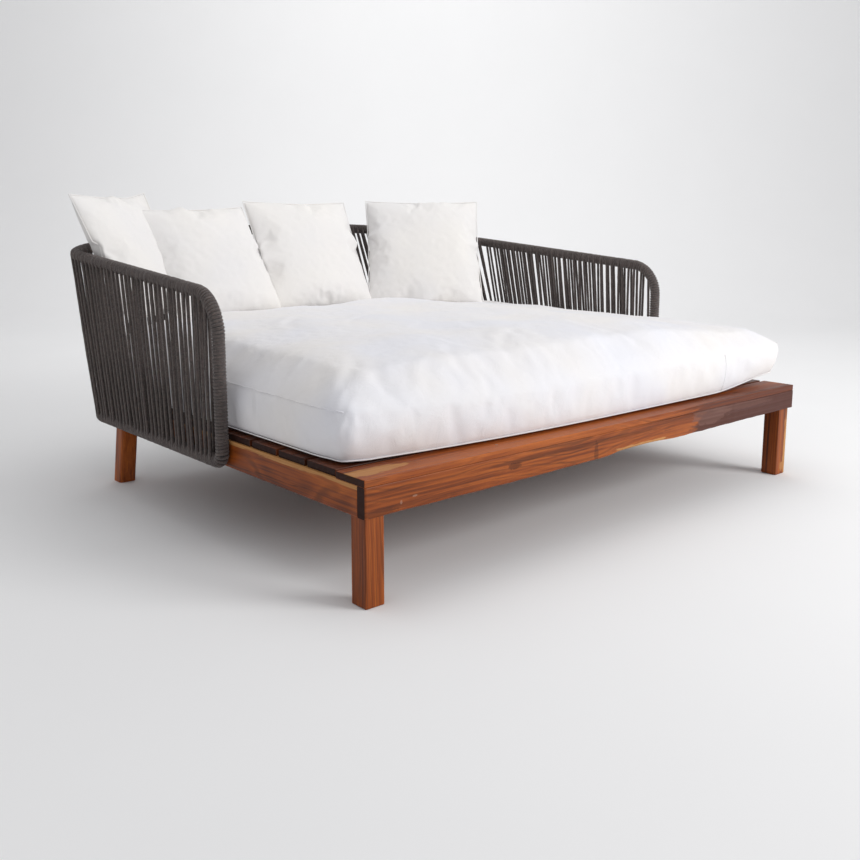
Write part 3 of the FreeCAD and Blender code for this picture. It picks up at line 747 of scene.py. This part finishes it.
def marks_for(node):
    """Patches on the boards that have them: centre, half sizes, shade and strength."""
    y = FRONT
    if node == "front_fascia":
        return (
            ((0.11, y, 0.246), (0.16, 0.05, 0.015), SAPWOOD, 0.95),
            ((0.77, y, 0.285), (0.43, 0.06, 0.100), PURPLE, 0.94),
            ((0.47, y, 0.296), (0.12, 0.05, 0.034), GREYED, 0.42),
            ((0.66, y, 0.300), (0.20, 0.05, 0.012), GREYED, 0.30),
            ((-0.48, y, 0.280), (0.028, 0.05, 0.010), UMBER, 0.55),
            ((-0.13, y, 0.262), (0.010, 0.05, 0.034), UMBER, 0.45),
            ((-0.84, y, 0.266), (0.010, 0.02, 0.003), SCUFF, 0.3),
            ((-0.885, y, 0.258), (0.004, 0.02, 0.006), SCUFF, 0.3),
            ((-0.25, y, 0.292), (0.42, 0.05, 0.007), UMBER, 0.45),
            ((-0.95, y, 0.245), (0.06, 0.05, 0.014), UMBER, 0.40),
        )
    if node == "front_cap_plank":
        return (
            ((-0.93, y + 0.060, DECK_TOP), (0.12, 0.030, 0.02), SAPWOOD, 0.75),
            ((0.75, y, 0.324), (0.42, 0.02, 0.03), PURPLE, 0.6),
        )
    if node.startswith("side_rail"):
        sign = -1 if node.endswith("left") else 1
        return (((sign, y + 0.40, RAIL_TOP), (0.022, 0.62, 0.011), SAPWOOD, 0.95),)
    if node == "leg_front_right":
        return (
            ((0.979, y + 0.004, 0.10), (0.020, 0.03, 0.16), SAPWOOD, 0.95),
            ((0.955, y + 0.004, 0.03), (0.012, 0.02, 0.02), SAPWOOD, 0.6),
        )
    return ()


def cut_of(node):
    """A board's grain direction and tone."""
    if node.startswith("leg"):
        return "Z", WARM_TONE
    if node.startswith(("side_rail", "joist")):
        return "Y", WARM_TONE
    if node.startswith("slat"):
        return "X", DECK_TONE
    return "X", ORANGE_TONE if node == "front_cap_plank" else WARM_TONE


def finish_wood():
    """Each board gets its own cut of timber."""
    boards = [node for node in frame["nodes"] if SLOTS[node] in ("frame_wood", "deck_wood")]
    for seed, node in enumerate(boards, 2):
        grain, tone = cut_of(node)
        material = wood_material("wood_" + node, grain, seed, tone, marks_for(node))
        assign(frame["nodes"][node], material)
        if node == "front_fascia":
            make_fascia(material)
        if node == "leg_front_right":
            make_right_leg(material)


def assign(piece, material):
    """One material over a whole CAD piece."""
    if not piece.material_slots:
        piece.data.materials.append(material)
    for place in piece.material_slots:
        place.material = material


def finish_metal():
    """Paint on the tube frame, zinc on the fixings."""
    paint = metal_material("charcoal_paint", colour(44, 42, 41), 0.5, 0.0)
    zinc = metal_material("zinc_plate", colour(168, 168, 164), 0.32, 1.0)
    for node, piece in frame["nodes"].items():
        if SLOTS[node] == "frame_steel":
            assign(piece, paint)
        if SLOTS[node] == "zinc_steel":
            assign(piece, zinc)


# ================================================================== hand-planed front
BOARD_STEP = 0.008
EDGE_ROUND = 0.0035
FASCIA_CLIMB = 0.014      # how much higher the fascia's lower edge ends on the right
WANE_DEPTH = 0.007
LEG_RISE = 0.018          # the right leg's shoulder above the fascia's lower edge
FOOT_WEAR = 0.0025


def rounded_section(low_a, high_a, low_b, high_b):
    """Outline of a board's section with rounded corners."""
    outline = []
    corners = (
        (high_a - EDGE_ROUND, high_b - EDGE_ROUND, 0),
        (low_a + EDGE_ROUND, high_b - EDGE_ROUND, 90),
        (low_a + EDGE_ROUND, low_b + EDGE_ROUND, 180),
        (high_a - EDGE_ROUND, low_b + EDGE_ROUND, 270),
    )
    for a, b, start in corners:
        for step in range(5):
            angle = radians(start + 22.5 * step)
            outline.append((a + EDGE_ROUND * cos(angle), b + EDGE_ROUND * sin(angle)))
    dense = []
    for (a1, b1), (a2, b2) in zip(outline, outline[1:] + outline[:1]):
        pieces = max(1, ceil(np.hypot(a2 - a1, b2 - b1) / BOARD_STEP))
        for k in range(pieces):
            dense.append((a1 + (a2 - a1) * k / pieces, b1 + (b2 - b1) * k / pieces))
    return np.array(dense)


def skin(rings, count, offset=0, mirrored=False):
    """Faces of a closed solid made of rings of points, from point number offset on."""
    faces = []
    for i in range(rings - 1):
        a, b = offset + i * count, offset + (i + 1) * count
        for k in range(count):
            m = (k + 1) % count
            side = (a + k, b + k, b + m, a + m) if mirrored else (a + k, a + m, b + m, b + k)
            faces.append(side)
    first = tuple(offset + k for k in range(count))
    last = tuple(offset + (rings - 1) * count + k for k in range(count))
    if mirrored:
        return faces + [first, last[::-1]]
    return faces + [first[::-1], last]


def board_piece(name, points, faces, material):
    """A wooden piece with flat ends."""
    piece = new_mesh(name, points, faces, "frame", material)
    piece.data.polygons.foreach_set("use_smooth", [len(face) < 5 for face in faces])
    return piece


def make_fascia(material):
    """Front board whose lower edge climbs to the right, with a wane and softly worn edges."""
    low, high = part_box("front_fascia")
    section = rounded_section(low.y, high.y, low.z, high.z)
    xs = np.linspace(low.x, high.x, ceil((high.x - low.x) / BOARD_STEP) + 1)
    rng = np.random.default_rng(5)
    knots = np.linspace(low.x, high.x, 60)
    climb = FASCIA_CLIMB * smooth(-0.75, 0.85, xs)
    climb = climb + np.interp(xs, knots, rng.normal(0, 0.0005, 60))
    wane = WANE_DEPTH * smooth(-0.10, 0.02, xs) * smooth(0.30, 0.12, xs)
    planed = np.interp(xs, knots, rng.normal(0, 0.00035, 60))
    share = (high.z - section[:, 1]) / (high.z - low.z)
    front = smooth(low.y + 0.010, low.y, section[:, 0])
    points = []
    for x, rise, hollow, wave in zip(xs, climb, wane, planed):
        z = section[:, 1] + rise * share ** 3 + hollow * share ** 10
        y = section[:, 0] + front * (abs(wave) + 0.9 * hollow * share ** 12)
        points += list(zip(np.full(len(section), x), y, z))
    faces = skin(len(xs), len(section), mirrored=True)
    piece = board_piece("fascia_board", points, faces, material)
    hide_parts("front_fascia")


def prism(outline, levels, offset):
    """Rings of an outline at each (height, inset), closed at both ends."""
    centre = outline.mean(0)
    half = np.abs(outline - centre).max(0)
    points = []
    for z, inset in levels:
        ring = centre + (outline - centre) * (1 - inset / half)
        points += [(x, y, z) for x, y in ring]
    return points, skin(len(levels), len(outline), offset)


def make_right_leg(material):
    """Front right leg: taller than its twin, up to the fascia's risen lower edge."""
    low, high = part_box("leg_front_right")
    fascia_low, fascia_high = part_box("front_fascia")
    shoulder = fascia_low.z + LEG_RISE
    foot = rounded_section(low.x, high.x, low.y, high.y)
    stops = np.linspace(low.z + FOOT_WEAR, shoulder, 30)
    points, faces = prism(foot, [(low.z, FOOT_WEAR)] + [(z, 0.0) for z in stops], 0)
    inner_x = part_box("side_rail_right")[0].x
    tongue = rounded_section(low.x, inner_x, fascia_high.y, high.y)
    more, upper = prism(tongue, [(shoulder - FOOT_WEAR, 0.0), (high.z, 0.0)], len(points))
    piece = board_piece("leg_front_right_post", points + more, faces + upper, material)
    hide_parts("leg_front_right")


# ================================================================== soft parts
CLOTH_FRAMES = 22


def run_cloth(pieces):
    """Runs every cloth to its last frame and gives back the points of each."""
    for number in range(1, CLOTH_FRAMES + 1):
        SCENE.frame_set(number)
    graph = bpy.context.evaluated_depsgraph_get()
    shapes = []
    for piece in pieces:
        done = piece.evaluated_get(graph).data
        shape = np.zeros(len(done.vertices) * 3, np.float32)
        done.vertices.foreach_get("co", shape)
        shapes.append(shape.reshape(-1, 3).astype(float))
    for piece in pieces:
        piece.modifiers.clear()
    SCENE.frame_set(1)
    return shapes


def add_cloth(piece, pressure, stiffness, bending, grow, pinned=()):
    """Cloth that swells under inner pressure, with no gravity; pinned is (weight, points)."""
    cloth = piece.modifiers.new("Cloth", "CLOTH")
    settings = cloth.settings
    settings.quality = 6
    settings.mass = 0.3
    settings.tension_stiffness = stiffness
    settings.compression_stiffness = stiffness
    settings.shear_stiffness = stiffness / 3
    settings.bending_stiffness = bending
    settings.air_damping = 2.0
    settings.use_pressure = True
    settings.uniform_pressure_force = pressure
    settings.shrink_min = -grow
    settings.effector_weights.gravity = 0.0
    if pinned:
        group = piece.vertex_groups.new(name="pin")
        for weight, members in pinned:
            group.add([int(i) for i in members], weight, "REPLACE")
        settings.vertex_group_mass = "pin"
    cloth.collision_settings.use_collision = False
    cloth.point_cache.frame_start = 1
    cloth.point_cache.frame_end = 60


def loose_piece(name, points, faces):
    """A plain mesh for the cloth to run on."""
    mesh = bpy.data.meshes.new(name)
    mesh.from_pydata([tuple(p) for p in points], [], faces)
    piece = bpy.data.objects.new(name, mesh)
    SCENE.collection.objects.link(piece)
    return piece


def subdivide(piece, levels):
    """Smooths a cloth piece."""
    smoothing = piece.modifiers.new("Smooth", "SUBSURF")
    smoothing.levels = levels
    smoothing.render_levels = levels


def sew(name, line, radius, body, material, closed=False):
    """A seam's thin cord along a line of points, in the cotton of its body."""
    cord = TubeBatch(8)
    cord.add(line, radius, closed=closed)
    cord.make(name, body, material)


def grid_faces(columns, rows):
    """Quads of a grid of points laid out row by row."""
    faces = []
    for j in range(rows - 1):
        for i in range(columns - 1):
            a = j * columns + i
            faces.append((a, a + 1, a + columns + 1, a + columns))
    return faces


def grid_border(columns, rows):
    """A grid's outer points, once round from its first corner."""
    ring = list(range(columns))
    ring += [j * columns + columns - 1 for j in range(1, rows)]
    ring += [(rows - 1) * columns + i for i in range(columns - 2, -1, -1)]
    ring += [j * columns for j in range(rows - 2, 0, -1)]
    return ring


PILLOW_GRID = 37
PILLOW_SLACK = 0.056      # how far each panel stands out before the cloth runs
PILLOW_EDGE_LIFT = 0.003
PILLOW_ROUGH = 0.0012


class PillowShape:
    """Two square panels sewn along their edges, in the pillow's own frame: X, Z up, -Y front."""

    def __init__(self, size, seed):
        n = PILLOW_GRID
        line = np.linspace(-0.5, 0.5, n)
        x, z = [values.ravel() for values in np.meshgrid(line, line)]
        rng = np.random.default_rng(seed)
        flat = np.stack([x * size, np.zeros(n * n), z * size], -1)
        edge = (np.abs(x) > 0.499) | (np.abs(z) > 0.499)
        slack = PILLOW_SLACK * np.sqrt(np.clip((1 - (2 * x) ** 2) * (1 - (2 * z) ** 2), 0, 1))
        rough = rng.normal(0, PILLOW_ROUGH, (2, n * n))
        front = flat.copy()
        front[:, 1] -= np.where(edge, 0, slack + PILLOW_EDGE_LIFT) + np.where(edge, 0, rough[0])
        inner = np.flatnonzero(~edge)
        back = flat[inner].copy()
        back[:, 1] += slack[inner] + PILLOW_EDGE_LIFT + rough[1][inner]
        index = np.arange(n * n)
        index[inner] = n * n + np.arange(len(inner))
        front_faces = grid_faces(n, n)
        back_faces = [tuple(int(index[v]) for v in reversed(face)) for face in front_faces]
        source = np.concatenate([flat, flat[inner]])
        self.points = np.concatenate([front, back])
        self.faces = front_faces + back_faces
        self.uvs = [(source[v, 0], source[v, 2]) for face in self.faces for v in face]
        self.seam = grid_border(n, n)
        self.across = source[:, 0] / size * 2
        self.upright = source[:, 2] / size * 2


EDGE_DIP = 0.035          # how far the middle of a pillow's side is drawn in, as a share


def eased_edges(shape, points, size):
    """Lets each side of a pillow dip only a little between its corners."""
    n = PILLOW_GRID
    grid = points[:n * n].reshape(n, n, 3)
    places = np.linspace(-1, 1, n)
    wanted = size / 2 * (1 - EDGE_DIP * (1 - places ** 2)) * 0.985
    u, v = shape.across, shape.upright
    moved = points.copy()
    sides = (
        (2, v, u, grid[-1, :, 2], 1.0),
        (2, -v, u, grid[0, :, 2], -1.0),
        (0, u, v, grid[:, -1, 0], 1.0),
        (0, -u, v, grid[:, 0, 0], -1.0),
    )
    for axis, toward, along, edge, sign in sides:
        shift = np.interp(along, places, sign * wanted - edge)
        moved[:, axis] += shift * np.clip(toward, 0, 1) ** 3
    return moved


Pillow = namedtuple("Pillow", "centre turn lean roll size thick seed")
# centre's Y is from the platform's front; turn, lean and roll are in degrees
PILLOWS = {
    "pillow_corner": Pillow((-0.818, 1.632, 0.806), 37.0, 25.0, 1.0, 0.49, 0.160, 3),
    "pillow_left": Pillow((-0.508, 1.612, 0.776), 4.0, 32.0, -1.5, 0.485, 0.155, 5),
    "pillow_middle": Pillow((-0.030, 1.642, 0.786), -2.0, 28.5, 0.6, 0.505, 0.160, 7),
    "pillow_right": Pillow((0.460, 1.478, 0.787), -35.0, 28.5, 0.3, 0.510, 0.170, 9),
}
BED_Z = 0.566             # where the pillows bear on the mattress
BEDDING = 0.012           # softness of what they bear on
BACK_GAP = 0.004
ARM_GAP = 0.003
CORNER_GAP = 0.012        # further gap between the corner pillow and the back


def place_pillow(points, pillow):
    """Leans, turns and moves a pillow's points to its place."""
    turning = Matrix.Rotation(radians(pillow.turn), 4, "Z")
    turning = turning @ Matrix.Rotation(radians(-pillow.lean), 4, "X")
    turning = turning @ Matrix.Rotation(radians(pillow.roll), 4, "Y")
    x, y, z = pillow.centre
    matrix = np.array(Matrix.Translation((x, y + FRONT, z)) @ turning)
    return points @ matrix[:3, :3].T + matrix[:3, 3]


def press_against(points, normal, offset):
    """Pushes points off a plane, with a soft edge where the cloth starts to bear on it."""
    height = points @ unit(normal) - offset
    bedded = BEDDING * np.exp(np.minimum(height, BEDDING) / BEDDING - 1)
    lifted = np.where(height < BEDDING, bedded, height)
    return points + (lifted - height)[:, None] * unit(normal)


def rest_pillow(name, points):
    """Flattens a pillow where it bears on the mattress, the back and the arm."""
    points = press_against(points, (0.0, 0.0, 1.0), BED_Z)
    back = np.array((0.0, -BACK_UP[2], BACK_UP[1]))
    face = np.array((0.0, BACK_BOTTOM_Y, BOTTOM_Z)) + back * (WRAP_RADIUS + BACK_GAP)
    low = (points[:, 2] < TOP_CORNER[2] + 0.08)[:, None]
    points = np.where(low, press_against(points, back, float(back @ face)), points)
    if name == "pillow_corner":
        points = press_against(points, back, float(back @ face) + CORNER_GAP)
        pressed = press_against(points, (1.0, 0.0, 0.0), -ARM_X + WRAP_RADIUS + ARM_GAP)
        below = (points[:, 2] < 0.86)[:, None]
        points = np.where(below, pressed, points)
    return points


SEAM_RADIUS = 0.0021


def finish_pillows(shapes, results, material):
    """Places each blown-up pillow, beds it in and sews its seam cord."""
    for name, pillow in PILLOWS.items():
        shape, points = shapes[name], results[name]
        points = eased_edges(shape, points - points.mean(0), pillow.size)
        points[:, 1] *= pillow.thick / np.ptp(points[:, 1])
        placed = rest_pillow(name, place_pillow(points, pillow))
        piece = new_mesh(name + "_cover", placed, shape.faces, name,
                         material, shape.uvs)
        subdivide(piece, 2)
        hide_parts(name)
        sew(name + "_seam", placed[shape.seam], SEAM_RADIUS, name, material, closed=True)


# ------------------------------------------------------------------ mattress
MAT_LEFT, MAT_RIGHT = -0.976, 0.990
MAT_FRONT, MAT_BACK = 0.046, 1.535
MAT_COLUMNS, MAT_ROWS = 131, 101
MAT_CORNER_POWER = 55.0
MAT_SEAM_Z = 0.474
MAT_BASE_Z = 0.345
MAT_UNDER_Z = 0.3362
MAT_TOP_Z = 0.578
MAT_EDGE_ROLL = 0.13
BOXING_ROWS = 8
BOXING_SEAM_X = 0.62
BOXING_STEP = 0.016       # cloth length of one row, for the weave
BOXING_JOIN = 0.017       # and from the last point round to the first
WAVE_HEIGHT = 0.0016
BOW_LEFT = 0.070          # how far the front edge falls back at the left corner
BOW_RIGHT = 0.006
ARM_RELIEF = 0.026        # the right side steps in where the arm's rope is


def bow(x):
    """How far the front edge falls back at x."""
    return np.where(x < 0, BOW_LEFT, BOW_RIGHT) * np.abs(x / 0.95) ** 2.2


def plan_point(u, v, grow=0.0):
    """Mattress plan from a square of side 2: rounded corners and a bowed front edge."""
    ring = np.maximum(np.maximum(np.abs(u), np.abs(v)), 1e-3)
    a, b = np.abs(u / ring), np.abs(v / ring)
    power = MAT_CORNER_POWER
    squeeze = np.maximum(a ** power + b ** power, 0.5) ** (-1 / power)
    squeeze = 1 + (squeeze - 1) * ring ** 5
    half_x = (MAT_RIGHT - MAT_LEFT) / 2 + grow
    half_y = (MAT_BACK - MAT_FRONT) / 2 + grow
    x = (MAT_RIGHT + MAT_LEFT) / 2 + half_x * u * squeeze
    y = (MAT_BACK + MAT_FRONT) / 2 + half_y * v * squeeze
    x = x - ARM_RELIEF * smooth(0.7, 1.0, u) * smooth(-0.8, -0.35, v)
    return x, y + bow(x) * smooth(0.2, -1.0, v) + FRONT


def quarter_round(distance, reach):
    """0 at the edge to 1 at reach, upright at the edge like a quarter circle."""
    share = np.clip(distance / reach, 0, 1)
    return np.sqrt(1 - (1 - share) ** 2)


class Creases:
    """Soft folds pressed into the top, most of them running in from the front edge."""

    def __init__(self, seed, count):
        rng = np.random.default_rng(seed)
        self.folds = []
        for number in range(count):
            if number % 4 == 3:
                centre = (rng.uniform(-0.9, 0.9), rng.uniform(0.5, 1.2) + FRONT)
                heading = rng.uniform(0.2, 1.3)
            else:
                centre = (rng.uniform(-0.92, 0.92), rng.uniform(0.14, 0.42) + FRONT)
                heading = radians(90) + rng.normal(-0.35, 0.35)
            length = rng.uniform(0.07, 0.20)
            width = rng.uniform(0.010, 0.024)
            depth = rng.uniform(0.0015, 0.0042)
            self.folds.append((centre, heading, length, width, depth))

    def height(self, x, y):
        """Depth of all the folds together."""
        total = np.zeros_like(x)
        for (cx, cy), heading, length, width, depth in self.folds:
            along = (x - cx) * cos(heading) + (y - cy) * sin(heading)
            across = -(x - cx) * sin(heading) + (y - cy) * cos(heading)
            across = across + 0.25 * along ** 2 / length
            fade = np.exp(-(along / length) ** 2)
            groove = -np.exp(-(across / width) ** 2)
            shoulder = 0.7 * np.exp(-((across - 1.6 * width) / (1.3 * width)) ** 2)
            total = total + depth * fade * (groove + shoulder)
        return total


CREASES = Creases(31, 34)


def side_round(distance, reach, crisp, ease):
    """Rise from a side seam: a crisp quarter round and a slow ease together."""
    slow = 1 - np.exp(-np.maximum(distance, 0) / ease)
    return crisp * quarter_round(distance, reach) + (1 - crisp) * slow


def top_height(x, y, waves):
    """Crowned top: rounded front, crisper sides, full middle and uneven filling."""
    front = y - FRONT - MAT_FRONT - bow(x)
    share = np.clip(front / 0.42, 0, 1)
    edge = 0.62 * quarter_round(front, MAT_EDGE_ROLL) + 0.38 * (1 - (1 - share) ** 2)
    relief = ARM_RELIEF * smooth(0.15, 0.50, y - FRONT)
    sides = side_round(x - MAT_LEFT, 0.07, 0.40, 0.13)
    sides = sides * side_round(MAT_RIGHT - x - relief, 0.05, 0.85, 0.06)
    inside = edge * sides * quarter_round(MAT_BACK - (y - FRONT), 0.035)
    z = MAT_SEAM_Z + (MAT_TOP_Z - MAT_SEAM_Z) * inside
    z = z + 0.006 * smooth(-0.95, 0.2, x) * inside - 0.054 * smooth(0.20, 0.95, x) * inside
    for fx, fy, phase in waves:
        z = z + WAVE_HEIGHT * np.sin(fx * x + fy * y + phase) * inside
    return z + CREASES.height(x, y) * np.minimum(1, inside * 1.6) * smooth(0.01, 0.10, front)


def filling_waves(rng):
    """Long shallow waves of uneven filling: two frequencies and a phase each."""
    waves = []
    for _ in range(9):
        heading = rng.uniform(0, pi)
        length = rng.uniform(0.22, 0.6)
        turns = 2 * pi / length
        waves.append((turns * cos(heading), turns * sin(heading), rng.uniform(0, 2 * pi)))
    return waves


def boxing_row(u, v, row):
    """One ring of points down the mattress' side, fuller at the sides than in front."""
    share = row / BOXING_ROWS
    side_puff = 0.013 * sin(pi * share) - 0.004 * share
    front_puff = 0.006 * sin(pi * share) + 0.014 * (cos(pi * share / 2) - 1)
    puff = side_puff + (front_puff - side_puff) * smooth(0.80, 0.97, -v)
    x, y = plan_point(u, v, puff)
    return np.stack([x, y, np.full(len(u), MAT_SEAM_Z + (MAT_BASE_Z - MAT_SEAM_Z) * share)], -1)


def boxing_faces(loops, arc):
    """Faces and UVs between the boxing's rings; arc is the length round the top seam."""
    faces, uvs = [], []
    count = len(arc)
    for row in range(BOXING_ROWS):
        upper, lower = loops[row], loops[row + 1]
        low_v, high_v = row * BOXING_STEP, (row + 1) * BOXING_STEP
        for k in range(count):
            m = (k + 1) % count
            faces.append((int(upper[m]), int(upper[k]), int(lower[k]), int(lower[m])))
            end = arc[m] if m else arc[-1] + BOXING_JOIN
            uvs += [(end, low_v), (arc[k], low_v), (arc[k], high_v), (end, high_v)]
    return faces, uvs


def mattress_shape():
    """Top panel, boxing and bottom panel as one closed skin, with its seams' points."""
    rng = np.random.default_rng(17)
    waves = filling_waves(rng)
    columns, rows = MAT_COLUMNS, MAT_ROWS
    u, v = np.meshgrid(np.linspace(-1, 1, columns), np.linspace(-1, 1, rows))
    u, v = u.ravel(), v.ravel()
    x, y = plan_point(u, v)
    top = np.stack([x, y, top_height(x, y, waves)], -1)
    top[:, 2] += rng.normal(0, 0.0008, len(top))
    panel = grid_faces(columns, rows)
    ring = np.array(grid_border(columns, rows))

    points = [top]
    loops = [ring]
    for row in range(1, BOXING_ROWS + 1):
        loops.append(sum(map(len, points)) + np.arange(len(ring)))
        points.append(boxing_row(u[ring], v[ring], row))
    steps = np.linalg.norm(np.diff(top[ring], axis=0), axis=1)
    side_faces, side_uvs = boxing_faces(loops, np.concatenate([[0], np.cumsum(steps)]))

    inner = np.setdiff1d(np.arange(columns * rows), ring)
    index = np.zeros(columns * rows, int)
    index[ring] = loops[-1]
    index[inner] = sum(map(len, points)) + np.arange(len(inner))
    under_x, under_y = plan_point(u[inner] * 0.985, v[inner] * 0.985, -0.006)
    points.append(np.stack([under_x, under_y, np.full(len(inner), MAT_UNDER_Z)], -1))
    under_faces = [tuple(int(index[k]) for k in reversed(face)) for face in panel]

    faces = panel + side_faces + under_faces
    uvs = [(x[k], y[k]) for face in panel for k in face] + side_uvs
    uvs += [(x[k], y[k]) for face in panel for k in reversed(face)]
    corner = (np.abs(u[ring]) > 0.95) & (np.abs(v[ring]) > 0.95)
    return np.concatenate(points), faces, uvs, loops, index[inner], ring[corner]


def lift_corner(points):
    """The far front corner of the base curls up off the deck."""
    reach = np.hypot(points[:, 0] - 0.98, (points[:, 1] - FRONT - 0.08) * 1.2)
    lift = 0.034 * smooth(0.42, 0.0, reach) * smooth(0.50, 0.40, points[:, 2])
    lifted = points.copy()
    lifted[:, 2] += lift
    return lifted


def pucker(points, seam):
    """Gathered knot at the top of the near left corner, with folds that fan out of it."""
    knot = seam[np.argmin(seam[:, 0] + seam[:, 1])] + np.array((0.006, 0.010, -0.006))
    away = points - knot
    reach = np.linalg.norm(away, axis=1)
    angle = np.arctan2(away[:, 2] + 0.5 * away[:, 1], away[:, 0] - 0.5 * away[:, 1])
    rays = np.sin(7 * angle + 60 * reach) + 0.6 * np.sin(11 * angle - 40 * reach)
    fade = np.exp(-(reach / 0.085) ** 2) * smooth(0.0, 0.03, reach)
    out = unit(away + np.array((-0.01, -0.01, 0.01)))
    bump = 0.0075 * rays * fade - 0.012 * np.exp(-(reach / 0.020) ** 2)
    return points + out * bump[:, None]


def finish_mattress(points, faces, uvs, loops, material):
    """The final mattress with its seam cords."""
    points = lift_corner(pucker(points, points[loops[0]]))
    piece = new_mesh("mattress_cover", points, faces, "mattress", material, uvs)
    subdivide(piece, 1)
    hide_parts("mattress")
    top_seam = np.roll(loops[0], -MAT_COLUMNS + 1)[:-MAT_COLUMNS + 2]
    sew("mattress_top_seam", points[top_seam], 0.0014, "mattress", material)
    sew("mattress_base_seam", points[loops[-1]], SEAM_RADIUS, "mattress", material, closed=True)
    places = points[loops[0]]
    distance = np.abs(places[:, 0] - BOXING_SEAM_X) + 10 * (places[:, 1] > FRONT + 0.4)
    nearest = int(np.argmin(distance))
    down = np.array([points[loop[nearest]] for loop in loops])
    sew("mattress_boxing_seam", down, 0.0012, "mattress", material)


def capped(rest, moved, most):
    """Limits how far each point may move."""
    step = moved - rest
    length = np.linalg.norm(step, axis=1, keepdims=True)
    return rest + step * np.minimum(1, most / np.maximum(length, 1e-9))


MATTRESS_SWELL = 0.018    # the most that the cloth may move a point of the mattress


def make_soft_parts():
    """All cloth runs together, then every soft piece is finished."""
    bed_cloth = cotton_material("mattress_cotton", colour(236, 233, 231), colour(231, 231, 236), 0.22)
    pillow_cloth = cotton_material("pillow_cotton", colour(238, 235, 231), colour(233, 231, 230), 0.2)
    shapes = {name: PillowShape(pillow.size, pillow.seed) for name, pillow in PILLOWS.items()}
    pieces = [loose_piece(name + "_soft", shape.points, shape.faces)
              for name, shape in shapes.items()]
    bed, faces, uvs, loops, under, corners = mattress_shape()
    bed_piece = loose_piece("mattress_soft", bed, faces)
    for piece in pieces:
        add_cloth(piece, 1.25, 18.0, 0.35, 0.0)
    pins = [(1.0, under), (1.0, loops[-1]), (0.3, loops[0]), (0.85, corners)]
    add_cloth(bed_piece, 0.9, 12.0, 2.0, 0.008, pins)
    moved = run_cloth(pieces + [bed_piece])
    results = dict(zip(shapes, moved[:-1]))
    soft_bed = capped(bed, moved[-1], MATTRESS_SWELL)
    for piece in pieces + [bed_piece]:
        old = piece.data
        bpy.data.objects.remove(piece)
        bpy.data.meshes.remove(old)
    finish_pillows(shapes, results, pillow_cloth)
    finish_mattress(soft_bed, faces, uvs, loops, bed_cloth)


# ================================================================== studio
def make_floor():
    """Large pale floor that curves up far behind the daybed."""
    reach, back, height, bend = 14.0, 7.0, 6.0, 2.5
    profile = [(-reach, 0.0), (back - bend, 0.0)]
    for step in range(1, 13):
        angle = radians(90 * step / 12)
        profile.append((back - bend + bend * sin(angle), bend - bend * cos(angle)))
    profile.append((back, height))
    heading = radians(-40.0)
    points = []
    for along, z in profile:
        for side in (-reach, reach):
            x = side * cos(heading) - along * sin(heading)
            y = side * sin(heading) + along * cos(heading)
            points.append((x, y, z))
    faces = []
    for i in range(len(profile) - 1):
        a = 2 * i
        faces.append((a, a + 1, a + 3, a + 2))
    mesh = bpy.data.meshes.new("floor")
    mesh.from_pydata(points, [], faces)
    mesh.polygons.foreach_set("use_smooth", [True] * len(faces))
    floor = bpy.data.objects.new("floor", mesh)
    SCENE.collection.objects.link(floor)
    floor.data.materials.append(floor_material())


def area_light(name, place, target, size, power):
    """Soft square light aimed at a point."""
    data = bpy.data.lights.new(name, "AREA")
    data.shape = "SQUARE"
    data.size = size
    data.energy = power
    light = bpy.data.objects.new(name, data)
    light.location = place
    aim = Vector(target) - Vector(place)
    light.rotation_euler = aim.to_track_quat("-Z", "Y").to_euler()
    SCENE.collection.objects.link(light)


def make_lights():
    """Even pale surround, a broad key from the front right, and lights overhead and far back."""
    world = bpy.data.worlds.new("studio")
    world.use_nodes = True
    background = world.node_tree.nodes["Background"]
    background.inputs[0].default_value = (1.0, 1.0, 1.02, 1.0)
    background.inputs[1].default_value = 0.53
    SCENE.world = world
    area_light("key", (2.4, -5.2, 2.7), (0.0, -0.2, 0.3), 2.4, 185)
    area_light("overhead", (-0.2, 0.2, 4.4), (-0.1, 0.1, 0.3), 3.0, 34)
    area_light("backdrop", (2.0, 2.6, 4.6), (4.6, 4.6, 1.0), 4.0, 84)


CAMERA_PLACE = (-2.3842, FRONT - 1.8268, 0.9819)
CAMERA_DOWN = 9.744       # degrees below level
CAMERA_TURN = 40.574      # degrees to the right of straight ahead
LENS = 41.10              # mm, on a 36 mm sensor


def make_camera():
    """Camera at the reference view: low, from the front left."""
    data = bpy.data.cameras.new("camera")
    data.sensor_width = 36.0
    data.lens = LENS
    data.shift_x = 0.0103
    data.shift_y = -0.0624
    data.clip_end = 60.0
    camera = bpy.data.objects.new("camera", data)
    camera.location = CAMERA_PLACE
    camera.rotation_euler = (radians(90 - CAMERA_DOWN), 0.0, radians(-CAMERA_TURN))
    SCENE.collection.objects.link(camera)
    SCENE.camera = camera


SCENE.view_settings.view_transform = "Standard"
SCENE.view_settings.look = "None"
make_camera()
make_lights()
make_floor()
finish_wood()
finish_metal()
ROPE = rope_material()
make_arm_rope(ROPE)
make_back_rope(ROPE)
make_soft_parts()
